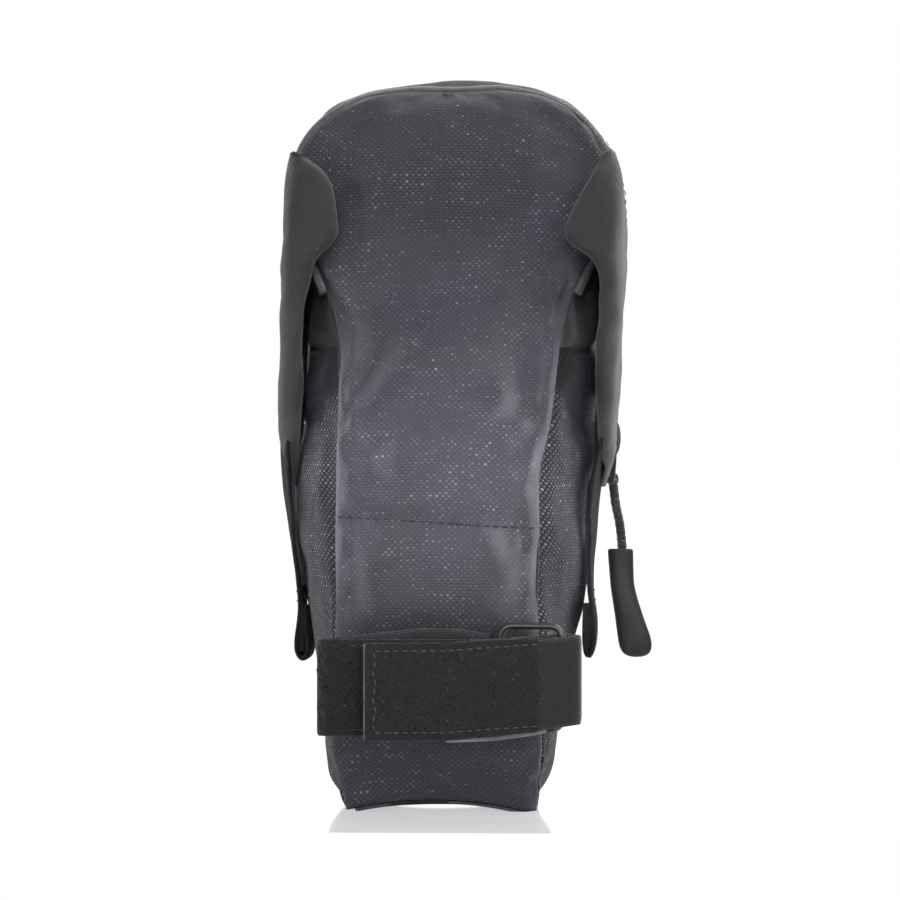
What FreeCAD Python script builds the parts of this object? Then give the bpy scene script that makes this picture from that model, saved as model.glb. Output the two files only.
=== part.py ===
import FreeCAD, Part
import math
import os

import Sketcher

# Wedge saddle bag for a bicycle, standing on its nose: +X to the right, +Y towards the back
# of the bag, +Z up. The origin is the middle of the nose's flat base, on the plane the bag
# stands on. All sizes are in millimetres.
#
# The bag is a soft shell cut into its sewn panels, with a zip round the upper body that frees
# a lid at the back, a strap that closes round a seatpost in front, and a strap and a loop on
# each side for the saddle rails.

V = FreeCAD.Vector
UP = V(0, 0, 1)
PI = math.pi
SIDES = ((1, "right"), (-1, "left"))

# ---------------------------------------------------------------- driving dimensions
DIMENSIONS = dict(
    # shell
    wall_thick=2.0,             # coated fabric, foam and seam allowance together
    lining_thick=0.6,
    front_lap=8.5,              # how far the front panel wraps round on to the sides
    upper_lap_share=0.55,       # share of that lap kept on the upper sections
    gusset_rise=6.0,            # foot of the upper gusset above section h
    back_panel_front_y=3.5,
    back_panel_low_half=14.0,   # half width of the wedge that parts the back panel
    back_panel_top_half=26.0,
    # zip: a band round the upper body in a plane of constant y
    zip_leg_low_x=39.8,         # outer face of the band at the foot of a leg
    zip_leg_low_z=87.0,
    zip_leg_top_x=44.0,
    zip_leg_top_z=146.0,
    zip_crown_z=188.0,
    zip_corner_rad=31.0,
    zip_tape_thick=0.9,
    zip_teeth_thick=2.2,
    zip_tape_width=5.6,
    zip_teeth_width=1.9,
    zip_mid_y=43.5,
    zip_teeth_gap=1.2,
    zip_post=0.8,               # bridge between plates, in the gap between the rows
    zip_window=16.2,
    zip_window_drop=0.5,        # window below the foot of the legs
    lid_seam_z=98.2,
    lid_seam_gap=0.8,
    # stops at the feet of the zip
    stop_high=2.2,
    stop_half_thick=1.7,
    stop_half_width=3.4,
    stop_hole_half_thick=1.13,
    stop_hole_half_width=2.8,
    stop_tape_half_thick=0.6,
    stop_tape_half_width=4.0,
    stop_post_half=1.5,
    stop_start=1.3,             # stop centre above the foot of the leg, along the leg
    # slider and the wire bail on it
    slider_length=8.6,
    slider_width=9.4,
    slider_plate=1.1,
    slider_flange=1.1,
    slider_clear=0.35,
    slider_slot=1.7,
    slider_start=7.2,           # slider centre above the foot of the leg, along the leg
    slider_post_short=1.6,      # how much shorter the post is than the slider
    slider_post_sink=0.3,       # how far the post runs into each plate
    bail_wire=0.85,             # wire radius
    bail_high=5.2,
    bail_long=7.0,
    bail_bend=1.6,
    # cord and grip
    cord_rad=1.15,
    loop_rad=0.8,
    knot_rad=1.9,
    cord_drop=30.4,
    cord_out=0.3,
    grip_length=28.6,
    grip_top_wide=6.6,
    grip_low_wide=9.4,
    grip_thick=5.2,
    grip_chamfer=0.45,
    grip_lean=7.0,              # degrees about Y
    # wings
    wing_inner_x=43.3,
    wing_thick=1.7,
    wing_top_z=166.0,
    wing_neck_z=112.0,          # where the edges turn in towards the hanging strap
    wing_front_y=-4.5,
    wing_back_y=33.5,
    # straps that hang under the wings
    rail_strap_width=20.0,
    rail_strap_y=10.5,
    rail_strap_thick=1.5,
    rail_strap_x=39.4,          # inner face of the hanging tail
    rail_strap_low_z=34.0,
    rail_strap_top_z=97.0,
    rail_fold_long=11.0,
    rail_strap_lean=2.5,        # degrees the tail leans in towards the side wall
    rail_strap_pivot_x=41.0,
    hook_thick=0.9,
    rail_hook_margin=1.5,
    rail_hook_start=2.0,        # ends of the hook patch above the fold
    rail_hook_end=40.0,
    # loops in front of the wings
    rail_loop_wide=24.0,
    rail_loop_low_z=142.0,
    rail_loop_thick=1.3,
    rail_loop_reach_x=28.5,
    rail_loop_out_x=43.3,
    rail_loop_front_y=-9.5,
    rail_loop_bend=2.6,
    # seatpost strap
    post_width=25.0,
    post_low_z=19.6,
    post_thick=1.4,
    post_back_y=-27.4,          # centre line of the layer sewn to the nose
    post_front_y=-33.9,         # centre line of the layer that carries the loop pile
    post_end_y=-37.5,           # centre line of the free end
    post_left_x=-30.6,          # left fold
    post_right_x=36.4,
    post_end_x=-17.2,           # tip of the free end
    post_anchor_gap=4.5,        # start of the back run, left of the ring's left bar
    post_run_start=21.0,        # where the run through the ring begins, in from the right
    post_fold_over=0.5,         # outer face of the right fold beyond post_right_x
    post_pile_thick=0.9,
    post_hook_thick=0.9,
    # ring and its tab
    ring_wire=0.95,             # wire radius
    ring_left_x=15.4,
    ring_right_x=31.0,
    ring_tall=31.0,
    ring_corner=3.2,
    ring_left_y=-30.4,
    ring_right_y=-34.6,
    ring_rise=0.9,              # ring centre above the middle of the strap
    tab_margin=2.0,
    tab_hole_clear=0.12,
    # trim
    binding_rad=1.1,
    board_thick=1.2,
    base_board_lift=0.6,
    back_board_wide=34.0,
    light_loop_wide=22.0,
    light_loop_thick=1.4,
    reflect_wide=54.0,
    reflect_tall=7.0,
    reflect_thick=0.5,
    reflect_low_z=158.5,
    reflect_gap=0.45,
)

# Sections of the shell from the nose up.
SECTION_WORDS = (
    "height", "halffront", "halfback", "fronty", "backy", "frontrad", "backrad",
)
SECTIONS = {
    "a": (0.0, 24.5, 23.0, -17.5, 17.5, 5.0, 7.0),
    "b": (8.0, 27.5, 27.0, -20.5, 23.0, 6.0, 9.0),
    "c": (20.0, 29.5, 31.0, -23.5, 30.5, 7.0, 11.0),
    "d": (40.0, 30.0, 34.0, -25.5, 40.5, 7.0, 13.0),
    "e": (60.0, 28.5, 36.5, -25.9, 49.0, 7.0, 14.0),
    "f": (76.0, 27.8, 37.3, -24.5, 55.0, 7.5, 14.5),
    "g": (95.0, 28.8, 38.3, -18.5, 61.5, 8.0, 14.5),
    "h": (112.0, 31.5, 40.2, -10.5, 66.0, 9.0, 14.5),
    "i": (130.0, 35.5, 41.9, -3.0, 69.5, 9.0, 14.5),
    "j": (148.0, 40.5, 43.0, 1.5, 71.0, 8.0, 14.5),
    "k": (162.0, 42.5, 43.0, 3.5, 70.5, 7.0, 14.5),
    "m": (173.0, 38.0, 38.5, 5.0, 68.5, 7.0, 14.0),
    "n": (181.0, 29.0, 29.5, 7.0, 65.0, 7.0, 13.0),
    "o": (186.6, 15.0, 15.5, 11.0, 59.5, 6.0, 9.0),
}
FULL_LAP_SECTIONS = "abcdefghi"

# Limits that clear the whole bag, for the boxes that part it along its seams.
ALL_X = (-60, 60)
CLEAR_FRONT = -60
CLEAR_BACK = 130
CLEAR_TOP = 200
ALL_Y = (CLEAR_FRONT, CLEAR_BACK)


class Size:
    """A length with both its value and the expression that binds it to the sheet."""

    def __init__(self, value, text):
        self.value = value
        self.text = text

    def __add__(self, other):
        other = sized(other)
        return Size(self.value + other.value, "(%s + %s)" % (self.text, other.text))

    def __sub__(self, other):
        other = sized(other)
        return Size(self.value - other.value, "(%s - %s)" % (self.text, other.text))

    def __mul__(self, other):
        other = sized(other)
        return Size(self.value * other.value, "(%s * %s)" % (self.text, other.text))

    def __truediv__(self, other):
        other = sized(other)
        return Size(self.value / other.value, "(%s / %s)" % (self.text, other.text))

    def __rmul__(self, other):
        return sized(other) * self

    def __neg__(self):
        return -1 * self


def sized(item):
    """A Size as it is, or a plain number made into one."""
    if isinstance(item, Size):
        return item
    return Size(float(item), "(%r)" % float(item))


class Dims:
    """Holds the driving dimensions by alias, each as a Size."""


doc = FreeCAD.newDocument("SaddleBag")


def fill_sheet():
    """One row for each driving dimension: its word in column A, its number in column B."""
    sheet = doc.addObject("Spreadsheet::Sheet", "Dims")
    rows = list(DIMENSIONS.items())
    for key, numbers in SECTIONS.items():
        for word, number in zip(SECTION_WORDS, numbers):
            rows.append(("sec_%s_%s" % (key, word), number))
    for row, (alias, number) in enumerate(rows, 1):
        sheet.set("A%d" % row, alias)
        sheet.set("B%d" % row, repr(number))
        sheet.setAlias("B%d" % row, alias)
        setattr(Dims, alias, Size(number, "Dims." + alias))
    doc.recompute()


def station(key, word):
    """One dimension of a shell section."""
    return getattr(Dims, "sec_%s_%s" % (key, word))


fill_sheet()


# ---------------------------------------------------------------- sketch helpers
def new_body(name):
    body = doc.addObject("PartDesign::Body", name)
    body.Label = name
    return body


def new_sketch(body, name, plane, offset=None):
    """A sketch on one of the body's origin planes, moved along its normal by offset.

    The normals are +Z for XY_Plane, -Y for XZ_Plane and +X for YZ_Plane.
    """
    sketch = body.newObject("Sketcher::SketchObject", name)
    support = [f for f in body.Origin.OriginFeatures if f.Role == plane][0]
    sketch.AttachmentSupport = (support, [""])
    sketch.MapMode = "FlatFace"
    if offset is not None:
        offset = sized(offset)
        sketch.AttachmentOffset = FreeCAD.Placement(V(0, 0, offset.value), FreeCAD.Rotation())
        sketch.setExpression("AttachmentOffset.Base.z", offset.text)
    return sketch


def tie(sketch, *terms):
    """Adds one constraint."""
    return sketch.addConstraint(Sketcher.Constraint(*terms))


def dim(sketch, kind, terms, name, size):
    """A named dimension bound to the sheet; its size must be positive."""
    index = tie(sketch, kind, *terms, size.value)
    sketch.renameConstraint(index, name)
    sketch.setExpression("Constraints." + name, size.text)


def hold(sketch, kind, edge, end, name, size):
    """Holds one coordinate of a point from the sketch's origin, on whichever side it lies."""
    size = sized(size)
    if abs(size.value) < 1e-9:
        tie(sketch, "PointOnObject", edge, end, -2 if kind == "DistanceX" else -1)
    elif size.value > 0:
        dim(sketch, kind, (-1, 1, edge, end), name, size)
    else:
        dim(sketch, kind, (edge, end, -1, 1), name, -size)


def line(start, end):
    return Part.LineSegment(V(start[0], start[1], 0), V(end[0], end[1], 0))


def arc(centre, radius, first, last):
    circle = Part.Circle(V(centre[0], centre[1], 0), UP, radius)
    return Part.ArcOfCircle(circle, first, last)


def add_all(sketch, shapes):
    return [sketch.addGeometry(shape, False) for shape in shapes]


def polygon(sketch, points):
    """A closed outline, each corner held from the sketch's origin."""
    points = [(sized(across), sized(up)) for across, up in points]
    flat = [(across.value, up.value) for across, up in points]
    count = len(points)
    edges = add_all(sketch, [line(flat[i], flat[(i + 1) % count]) for i in range(count)])
    for i in range(count):
        tie(sketch, "Coincident", edges[i], 2, edges[(i + 1) % count], 1)
    for i, (across, up) in enumerate(points):
        hold(sketch, "DistanceX", edges[i], 1, "c%du" % i, across)
        hold(sketch, "DistanceY", edges[i], 1, "c%dv" % i, up)


def rectangle(left, right, low, high):
    return [(left, low), (right, low), (right, high), (left, high)]


def centred(half_across, half_up):
    """A rectangle round the sketch's origin."""
    return rectangle(-half_across, half_across, -half_up, half_up)


# ---------------------------------------------------------------- solid helpers
def pad(body, sketch, length, name, midplane=False, reverse=False):
    length = sized(length)
    feature = body.newObject("PartDesign::Pad", name)
    feature.Profile = sketch
    feature.Length = length.value
    feature.setExpression("Length", length.text)
    feature.Midplane = midplane
    feature.Reversed = reverse
    sketch.Visibility = False
    return feature


def prism(body, stem, plane, outline, length, offset=None, tail="", **options):
    """Pads a closed outline; stem and tail name the sketch and the pad."""
    sketch = new_sketch(body, stem + "_line" + tail, plane, offset)
    polygon(sketch, outline)
    return pad(body, sketch, length, stem + "_pad" + tail, **options)


def cut_through(body, sketch, name):
    """Pockets a sketch right through the body, both ways."""
    doc.recompute()
    feature = body.newObject("PartDesign::Pocket", name)
    feature.Profile = sketch
    feature.Type = 1
    feature.Midplane = True


def cut_slot(body, sketch_name, name, half_across, half_up):
    """A rectangular hole along Z, centred on the body's origin."""
    sketch = new_sketch(body, sketch_name, "XY_Plane")
    polygon(sketch, centred(half_across, half_up))
    cut_through(body, sketch, name)


def pipe(body, profile, path, name):
    doc.recompute()
    feature = body.newObject("PartDesign::AdditivePipe", name)
    feature.Profile = profile
    feature.Spine = (path, [])
    doc.recompute()


def swept(name, points, radius):
    """A round cord through points: a circle swept along a spline."""
    curve = Part.BSplineCurve()
    curve.interpolate(points)
    spine = doc.addObject("Part::Feature", name + "_spine")
    spine.Shape = curve.toShape()
    ring = doc.addObject("Part::Circle", name + "_ring")
    ring.Radius = radius.value
    ring.setExpression("Radius", radius.text)
    heading = curve.tangent(curve.FirstParameter)[0]
    ring.Placement = FreeCAD.Placement(points[0], FreeCAD.Rotation(UP, heading))
    sweep = doc.addObject("Part::Sweep", name)
    sweep.Sections = [ring]
    sweep.Spine = (spine, ["Edge1"])
    sweep.Solid = True
    sweep.Frenet = False
    return sweep


def cut(name, base, tool):
    result = doc.addObject("Part::Cut", name)
    result.Base = base
    result.Tool = tool
    result.Label = name
    return result


def gather(kind, name, shapes):
    result = doc.addObject(kind, name)
    result.Shapes = list(shapes)
    result.Label = name
    return result


def common(name, *shapes):
    return gather("Part::MultiCommon", name, shapes)


def fuse(name, *shapes):
    return gather("Part::MultiFuse", name, shapes)


def block(name, x, y, z):
    """A box between pairs of sizes, used to part the bag along its seams."""
    box = doc.addObject("Part::Box", name)
    for prop, axis, (low, high) in (("Length", "x", x), ("Width", "y", y), ("Height", "z", z)):
        extent = sized(high) - sized(low)
        setattr(box, prop, extent.value)
        box.setExpression(prop, extent.text)
        box.setExpression("Placement.Base." + axis, sized(low).text)
    return box


NODES = []


def node(piece, name=None):
    """Marks an object as a finished piece, written out under its name."""
    name = name or piece.Label
    piece.Label = name
    NODES.append((piece, name))


# ---------------------------------------------------------------- the shell and its panels
def tangent_points(front, front_rad, back, back_rad):
    """Where the outer tangent on the +x side touches two circles, the second towards +y."""
    dx, dy = back[0] - front[0], back[1] - front[1]
    length = math.hypot(dx, dy)
    dx, dy = dx / length, dy / length
    along = (front_rad - back_rad) / length
    beside = math.sqrt(1 - along * along)
    nx, ny = along * dx + beside * dy, along * dy - beside * dx
    return (
        (front[0] + front_rad * nx, front[1] + front_rad * ny),
        (back[0] + back_rad * nx, back[1] + back_rad * ny),
    )


def section(body, key, inset, rise):
    """One rounded trapezoid of the shell: front edge, two flaring sides and back edge."""
    height, half_front, half_back, front_y, back_y, front_rad, back_rad = (
        station(key, word) for word in SECTION_WORDS
    )
    sketch = new_sketch(body, body.Name + "_" + key, "XY_Plane", height + rise)
    # corner centres, which the inset leaves where they are
    front_cx, front_cy = half_front - front_rad, front_y + front_rad
    back_cx, back_cy = half_back - back_rad, back_y - back_rad
    fx, fy, bx, by = front_cx.value, front_cy.value, back_cx.value, back_cy.value
    front_r, back_r = (front_rad - inset).value, (back_rad - inset).value
    front_edge, back_edge = (front_y + inset).value, (back_y - inset).value
    touch_f, touch_b = tangent_points((fx, fy), front_r, (bx, by), back_r)
    angle_f = math.atan2(touch_f[1] - fy, touch_f[0] - fx)
    angle_b = math.atan2(touch_b[1] - by, touch_b[0] - bx)
    edges = add_all(sketch, [
        line((-fx, front_edge), (fx, front_edge)),
        arc((fx, fy), front_r, -PI / 2, angle_f),
        line(touch_f, touch_b),
        arc((bx, by), back_r, angle_b, PI / 2),
        line((bx, back_edge), (-bx, back_edge)),
        arc((-bx, by), back_r, PI / 2, PI - angle_b),
        line((-touch_b[0], touch_b[1]), (-touch_f[0], touch_f[1])),
        arc((-fx, fy), front_r, PI - angle_f, 3 * PI / 2),
    ])
    for i in range(8):
        tie(sketch, "Tangent", edges[i], 2, edges[(i + 1) % 8], 1)
    tie(sketch, "Horizontal", edges[0])
    tie(sketch, "Symmetric", edges[1], 3, edges[7], 3, -2)
    tie(sketch, "Symmetric", edges[3], 3, edges[5], 3, -2)
    dim(sketch, "Radius", (edges[1],), "front_rad", front_rad - inset)
    dim(sketch, "Radius", (edges[3],), "back_rad", back_rad - inset)
    tie(sketch, "Equal", edges[3], edges[5])
    hold(sketch, "DistanceX", edges[1], 3, "front_half", front_cx)
    hold(sketch, "DistanceX", edges[3], 3, "back_half", back_cx)
    hold(sketch, "DistanceY", edges[1], 3, "front_at", front_cy)
    hold(sketch, "DistanceY", edges[3], 3, "back_at", back_cy)
    return sketch


def form(name, inset):
    """The closed form of the shell, drawn in from the outside by inset all round."""
    body = new_body(name)
    keys = list(SECTIONS)
    rises = [inset] + [0] * (len(keys) - 2) + [-inset]
    rings = [section(body, key, inset, rise) for key, rise in zip(keys, rises)]
    loft = body.newObject("PartDesign::AdditiveLoft", name + "_loft")
    loft.Profile = rings[0]
    loft.Sections = rings[1:]
    loft.Ruled = False
    return body


def make_front_slab():
    """Everything in front of the front panel's edge, which follows the front of the bag."""
    upper_lap = Dims.front_lap * Dims.upper_lap_share
    under = -10
    outline = [(CLEAR_FRONT, under), (station("a", "fronty") + Dims.front_lap, under)]
    for key in SECTIONS:
        lap = Dims.front_lap if key in FULL_LAP_SECTIONS else upper_lap
        outline.append((station(key, "fronty") + lap, station(key, "height") + 0.01))
    outline.append((station("o", "fronty") + upper_lap, CLEAR_TOP))
    outline.append((CLEAR_FRONT, CLEAR_TOP))
    slab = new_body("front_slab")
    prism(slab, "front_slab", "YZ_Plane", outline, ALL_X[1] - ALL_X[0], midplane=True)
    return slab


def make_back_cutter():
    """A wedge, wider at the top, that parts the back panel from the side walls."""
    low, top = Dims.back_panel_low_half, Dims.back_panel_top_half
    low_z, top_z = -5, Dims.lid_seam_z + 12
    wedge = new_body("back_wedge")
    outline = [(-low, low_z), (low, low_z), (top, top_z), (-top, top_z)]
    prism(wedge, "back_wedge", "XZ_Plane", outline, 100, reverse=True)
    half = block(
        "back_half", ALL_X, (Dims.back_panel_front_y, CLEAR_BACK),
        (Dims.wall_thick, Dims.lid_seam_z),
    )
    return common("back_cutter", wedge, half)


def make_panels(shell, lid_box, window_box, lid_clear):
    """Parts the shell into its sewn panels."""
    wall = Dims.wall_thick
    slab = make_front_slab()
    back_cutter = make_back_cutter()
    gusset_z = station("h", "height") + Dims.gusset_rise
    base_box = block("base_box", ALL_X, ALL_Y, (-5, wall))
    body_box = block("body_box", ALL_X, ALL_Y, (wall, CLEAR_TOP))
    left_low = block("left_low", (ALL_X[0], 0), ALL_Y, (wall, gusset_z))
    right_low = block("right_low", (0, ALL_X[1]), ALL_Y, (wall, gusset_z))
    high_box = block("high_box", ALL_X, ALL_Y, (gusset_z, CLEAR_TOP))

    node(common("base_panel", shell, base_box))
    front_all = common("front_all", shell, slab)
    node(common("front_panel", front_all, body_box))
    shell_rest = cut("shell_rest", shell, slab)
    shell_fixed_a = cut("shell_fixed_a", shell_rest, window_box)
    shell_fixed = cut("shell_fixed", shell_fixed_a, lid_clear)
    node(common("back_panel", shell_fixed, back_cutter))
    side_all = cut("side_all", shell_fixed, back_cutter)
    node(common("side_wall_left", side_all, left_low))
    node(common("side_wall_right", side_all, right_low))
    node(common("upper_gusset", shell_fixed, high_box))
    node(common("rear_lid", shell, lid_box))


def make_shell():
    """The panels and the linings. Returns the outer form, which trims the front binding."""
    outer = form("outer_form", sized(0))
    inner = form("inner_form", Dims.wall_thick)
    core = form("core_form", Dims.wall_thick + Dims.lining_thick)
    shell = cut("shell_form", outer, inner)
    lining_shell = cut("lining_form", inner, core)

    mid, half_window = Dims.zip_mid_y, Dims.zip_window / 2
    lid_box = block(
        "lid_box", ALL_X, (mid + half_window, CLEAR_BACK),
        (Dims.lid_seam_z + Dims.lid_seam_gap, CLEAR_TOP),
    )
    # what the zip and the lid need clear of the fixed panels
    window_box = block(
        "window_box", ALL_X, (mid - half_window, mid + half_window),
        (Dims.zip_leg_low_z - Dims.zip_window_drop, CLEAR_TOP),
    )
    lid_clear = block("lid_clear", ALL_X, (mid, CLEAR_BACK), (Dims.lid_seam_z, CLEAR_TOP))

    make_panels(shell, lid_box, window_box, lid_clear)
    lining_a = cut("lining_a", lining_shell, window_box)
    node(cut("lining", lining_a, lid_clear))
    node(common("lid_lining", lining_shell, lid_box))
    return outer


# ---------------------------------------------------------------- the zip
def zip_curve(depth, foot):
    """The zip's outline, depth inside its outer face: right leg, corner, crown, corner, leg.

    Returns the right leg's foot and the five shapes.
    """
    low_x, low_z = Dims.zip_leg_low_x.value, Dims.zip_leg_low_z.value
    top_x, top_z = Dims.zip_leg_top_x.value, Dims.zip_leg_top_z.value
    crown_z, corner_rad = Dims.zip_crown_z.value, Dims.zip_corner_rad.value
    length = math.hypot(top_x - low_x, top_z - low_z)
    out_x, out_z = (top_z - low_z) / length, -(top_x - low_x) / length
    corner_x, corner_z = top_x - out_x * corner_rad, top_z - out_z * corner_rad
    # The crown arc is centred on x = 0, is tangent to the corner arcs and reaches crown_z:
    # corner_x^2 + (corner_z - centre_z)^2 = (crown_z - centre_z - corner_rad)^2
    level = crown_z - corner_rad
    centre_z = (corner_x ** 2 + corner_z ** 2 - level ** 2) / (2 * (corner_z - level))

    low_x, low_z = low_x - out_x * depth, low_z - out_z * depth
    top_x, top_z = top_x - out_x * depth, top_z - out_z * depth
    foot_x = low_x + (top_x - low_x) * (foot - low_z) / (top_z - low_z)
    radius = corner_rad - depth
    leg_angle = math.atan2(top_z - corner_z, top_x - corner_x)
    join_angle = math.atan2(corner_z - centre_z, corner_x)
    shapes = [
        line((foot_x, foot), (top_x, top_z)),
        arc((corner_x, corner_z), radius, leg_angle, join_angle),
        arc((0, centre_z), crown_z - centre_z - depth, join_angle, PI - join_angle),
        arc((-corner_x, corner_z), radius, PI - join_angle, PI - leg_angle),
        line((-top_x, top_z), (-foot_x, foot)),
    ]
    return foot_x, shapes


def zip_band(name, thick, depth, front_y, back_y, foot):
    """A band of the zip, thick mm thick from depth mm below the outer face, down to foot."""
    body = new_body(name)
    sketch = new_sketch(body, name + "_line", "XZ_Plane", -back_y)
    foot_z = foot.value
    outer_x, outer_shapes = zip_curve(depth.value, foot_z)
    inner_x, inner_shapes = zip_curve((depth + thick).value, foot_z)
    outer = add_all(sketch, outer_shapes)
    inner = add_all(sketch, inner_shapes)
    for row in (outer, inner):
        for i in range(4):
            tie(sketch, "Tangent", row[i], 2, row[i + 1], 1)
    right_foot, left_foot = add_all(sketch, [
        line((outer_x, foot_z), (inner_x, foot_z)),
        line((-inner_x, foot_z), (-outer_x, foot_z)),
    ])
    tie(sketch, "Coincident", outer[0], 1, right_foot, 1)
    tie(sketch, "Coincident", inner[0], 1, right_foot, 2)
    tie(sketch, "Coincident", inner[4], 2, left_foot, 1)
    tie(sketch, "Coincident", outer[4], 2, left_foot, 2)
    dim(sketch, "DistanceY", (-1, 1, right_foot, 1), "foot", foot)
    dim(sketch, "Radius", (outer[1],), "corner", Dims.zip_corner_rad - depth)
    dim(sketch, "Radius", (inner[1],), "corner_in", Dims.zip_corner_rad - depth - thick)
    pad(body, sketch, back_y - front_y, name + "_pad")
    return body


def make_zip_bands():
    """Teeth and tape on the body's side in front, and on the lid's side behind them.

    The lid's rows carry on below the lid's seam as a tail sewn to the fixed walls.
    """
    mid, low = Dims.zip_mid_y, Dims.zip_leg_low_z
    lid_foot = Dims.lid_seam_z + Dims.lid_seam_gap
    teeth_near = Dims.zip_teeth_gap / 2
    teeth_far = teeth_near + Dims.zip_teeth_width
    tape_far = teeth_far + Dims.zip_tape_width
    tape_depth = (Dims.zip_teeth_thick - Dims.zip_tape_thick) / 2
    tail_box = block("tail_box", ALL_X, ALL_Y, (0, Dims.lid_seam_z))
    # word, thickness, depth below the outer face, near and far edge from the middle
    rows = (
        ("teeth", Dims.zip_teeth_thick, sized(0), teeth_near, teeth_far),
        ("tape", Dims.zip_tape_thick, tape_depth, teeth_far, tape_far),
    )
    for word, thick, depth, near, far in rows:
        front = zip_band(word + "_body_band", thick, depth, mid - far, mid - near, low)
        lid = zip_band("zip_%s_lid" % word, thick, depth, mid + near, mid + far, lid_foot)
        tail = zip_band(word + "_tail_band", thick, depth, mid + near, mid + far, low)
        node(front, "zip_%s_body" % word)
        node(common("zip_%s_tail" % word, tail, tail_box))
        node(lid)


LEG_ANGLE = math.atan2(
    (Dims.zip_leg_top_x - Dims.zip_leg_low_x).value,
    (Dims.zip_leg_top_z - Dims.zip_leg_low_z).value,
)
# the slider's channel and outer faces from the middle of the teeth
SLIDER_INNER = Dims.zip_teeth_thick / 2 + Dims.slider_clear
SLIDER_OUTER = SLIDER_INNER + Dims.slider_plate


def leg_point(along, out):
    """x and z of a point on the right leg, along it and out from the middle of the teeth."""
    out = out - Dims.zip_teeth_thick.value / 2
    lean_x, lean_z = math.sin(LEG_ANGLE), math.cos(LEG_ANGLE)
    return (
        Dims.zip_leg_low_x.value + lean_x * along + lean_z * out,
        Dims.zip_leg_low_z.value + lean_z * along - lean_x * out,
    )


def on_leg(piece, side, along):
    """Moves a piece built at the origin on to the right (+1) or left (-1) leg of the zip."""
    x, z = leg_point(along.value, 0)
    turn = FreeCAD.Rotation(V(0, 1, 0), side * math.degrees(LEG_ANGLE))
    piece.Placement = FreeCAD.Placement(V(side * x, Dims.zip_mid_y.value, z), turn)


def bridge(body, name, length, half_x):
    """A thin upright bridge through the gap between the rows, joining the plates."""
    sketch = new_sketch(body, name + "_line", "XY_Plane", -length / 2)
    polygon(sketch, centred(half_x, Dims.zip_post / 2))
    pad(body, sketch, length, name)
    doc.recompute()


def make_zip_stops():
    """A stop crimped over both rows of teeth at the foot of each leg."""
    for side, word in SIDES:
        tail = "_" + word
        stop = new_body("zip_stop" + tail)
        outline = centred(Dims.stop_half_thick, Dims.stop_half_width)
        prism(stop, "stop", "XY_Plane", outline, Dims.stop_high, tail=tail, midplane=True)
        cut_slot(
            stop, "stop_slot" + tail, "stop_hole" + tail,
            Dims.stop_hole_half_thick, Dims.stop_hole_half_width,
        )
        cut_slot(
            stop, "stop_tape" + tail, "stop_side" + tail,
            Dims.stop_tape_half_thick, Dims.stop_tape_half_width,
        )
        doc.recompute()
        bridge(stop, "stop_post" + tail, Dims.stop_high, Dims.stop_post_half)
        on_leg(stop, side, Dims.stop_start)
        node(stop)


def make_slider():
    """Two plates joined by slotted side flanges, with a post where the rows meet."""
    slider = new_body("zip_slider")
    half_width = Dims.slider_width / 2
    sketch = new_sketch(slider, "slider_plan", "XY_Plane", -Dims.slider_length / 2)
    polygon(sketch, centred(SLIDER_OUTER, half_width))
    pad(slider, sketch, Dims.slider_length, "slider_block")
    cut_slot(
        slider, "slider_channel_line", "slider_channel",
        SLIDER_INNER, half_width - Dims.slider_flange,
    )
    cut_slot(
        slider, "slider_slot_line", "slider_slots", Dims.slider_slot / 2, Dims.slider_width
    )
    doc.recompute()
    bridge(
        slider, "slider_post", Dims.slider_length - Dims.slider_post_short,
        SLIDER_INNER + Dims.slider_post_sink,
    )
    on_leg(slider, 1, Dims.slider_start)
    node(slider)


def make_bail():
    """A wire bridge on the slider's outer plate that the cord loops through."""
    bail = new_body("slider_bail")
    path = new_sketch(bail, "bail_path", "XZ_Plane")
    reach = SLIDER_OUTER + Dims.bail_high - Dims.bail_wire
    foot, top, bend = SLIDER_OUTER.value, reach.value, Dims.bail_bend.value
    half = Dims.bail_long.value / 2
    edges = add_all(path, [
        line((foot, -half), (top - bend, -half)),
        arc((top - bend, -half + bend), bend, -PI / 2, 0),
        line((top, -half + bend), (top, half - bend)),
        arc((top - bend, half - bend), bend, 0, PI / 2),
        line((top - bend, half), (foot, half)),
    ])
    for i in range(4):
        tie(path, "Tangent", edges[i], 2, edges[i + 1], 1)
    tie(path, "Horizontal", edges[0])
    tie(path, "Horizontal", edges[4])
    tie(path, "Vertical", edges[2])
    tie(path, "Equal", edges[1], edges[3])
    dim(path, "DistanceX", (-1, 1, edges[0], 1), "foot_x", SLIDER_OUTER)
    dim(path, "Radius", (edges[1],), "bend", Dims.bail_bend)
    dim(path, "DistanceX", (-1, 1, edges[2], 1), "reach", reach)
    dim(path, "DistanceY", (edges[0], 1, edges[4], 2), "tall", Dims.bail_long)
    tie(path, "Symmetric", edges[0], 1, edges[4], 2, -1)
    doc.recompute()
    profile = new_sketch(bail, "bail_wire_line", "YZ_Plane", SLIDER_OUTER)
    wire = profile.addGeometry(Part.Circle(V(0, -half, 0), UP, Dims.bail_wire.value), False)
    dim(profile, "Radius", (wire,), "wire", Dims.bail_wire)
    tie(profile, "PointOnObject", wire, 3, -2)
    dim(profile, "DistanceY", (wire, 3, -1, 1), "down", Dims.bail_long / 2)
    pipe(bail, profile, path, "bail_pipe")
    on_leg(bail, 1, Dims.slider_start)
    node(bail)


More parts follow.
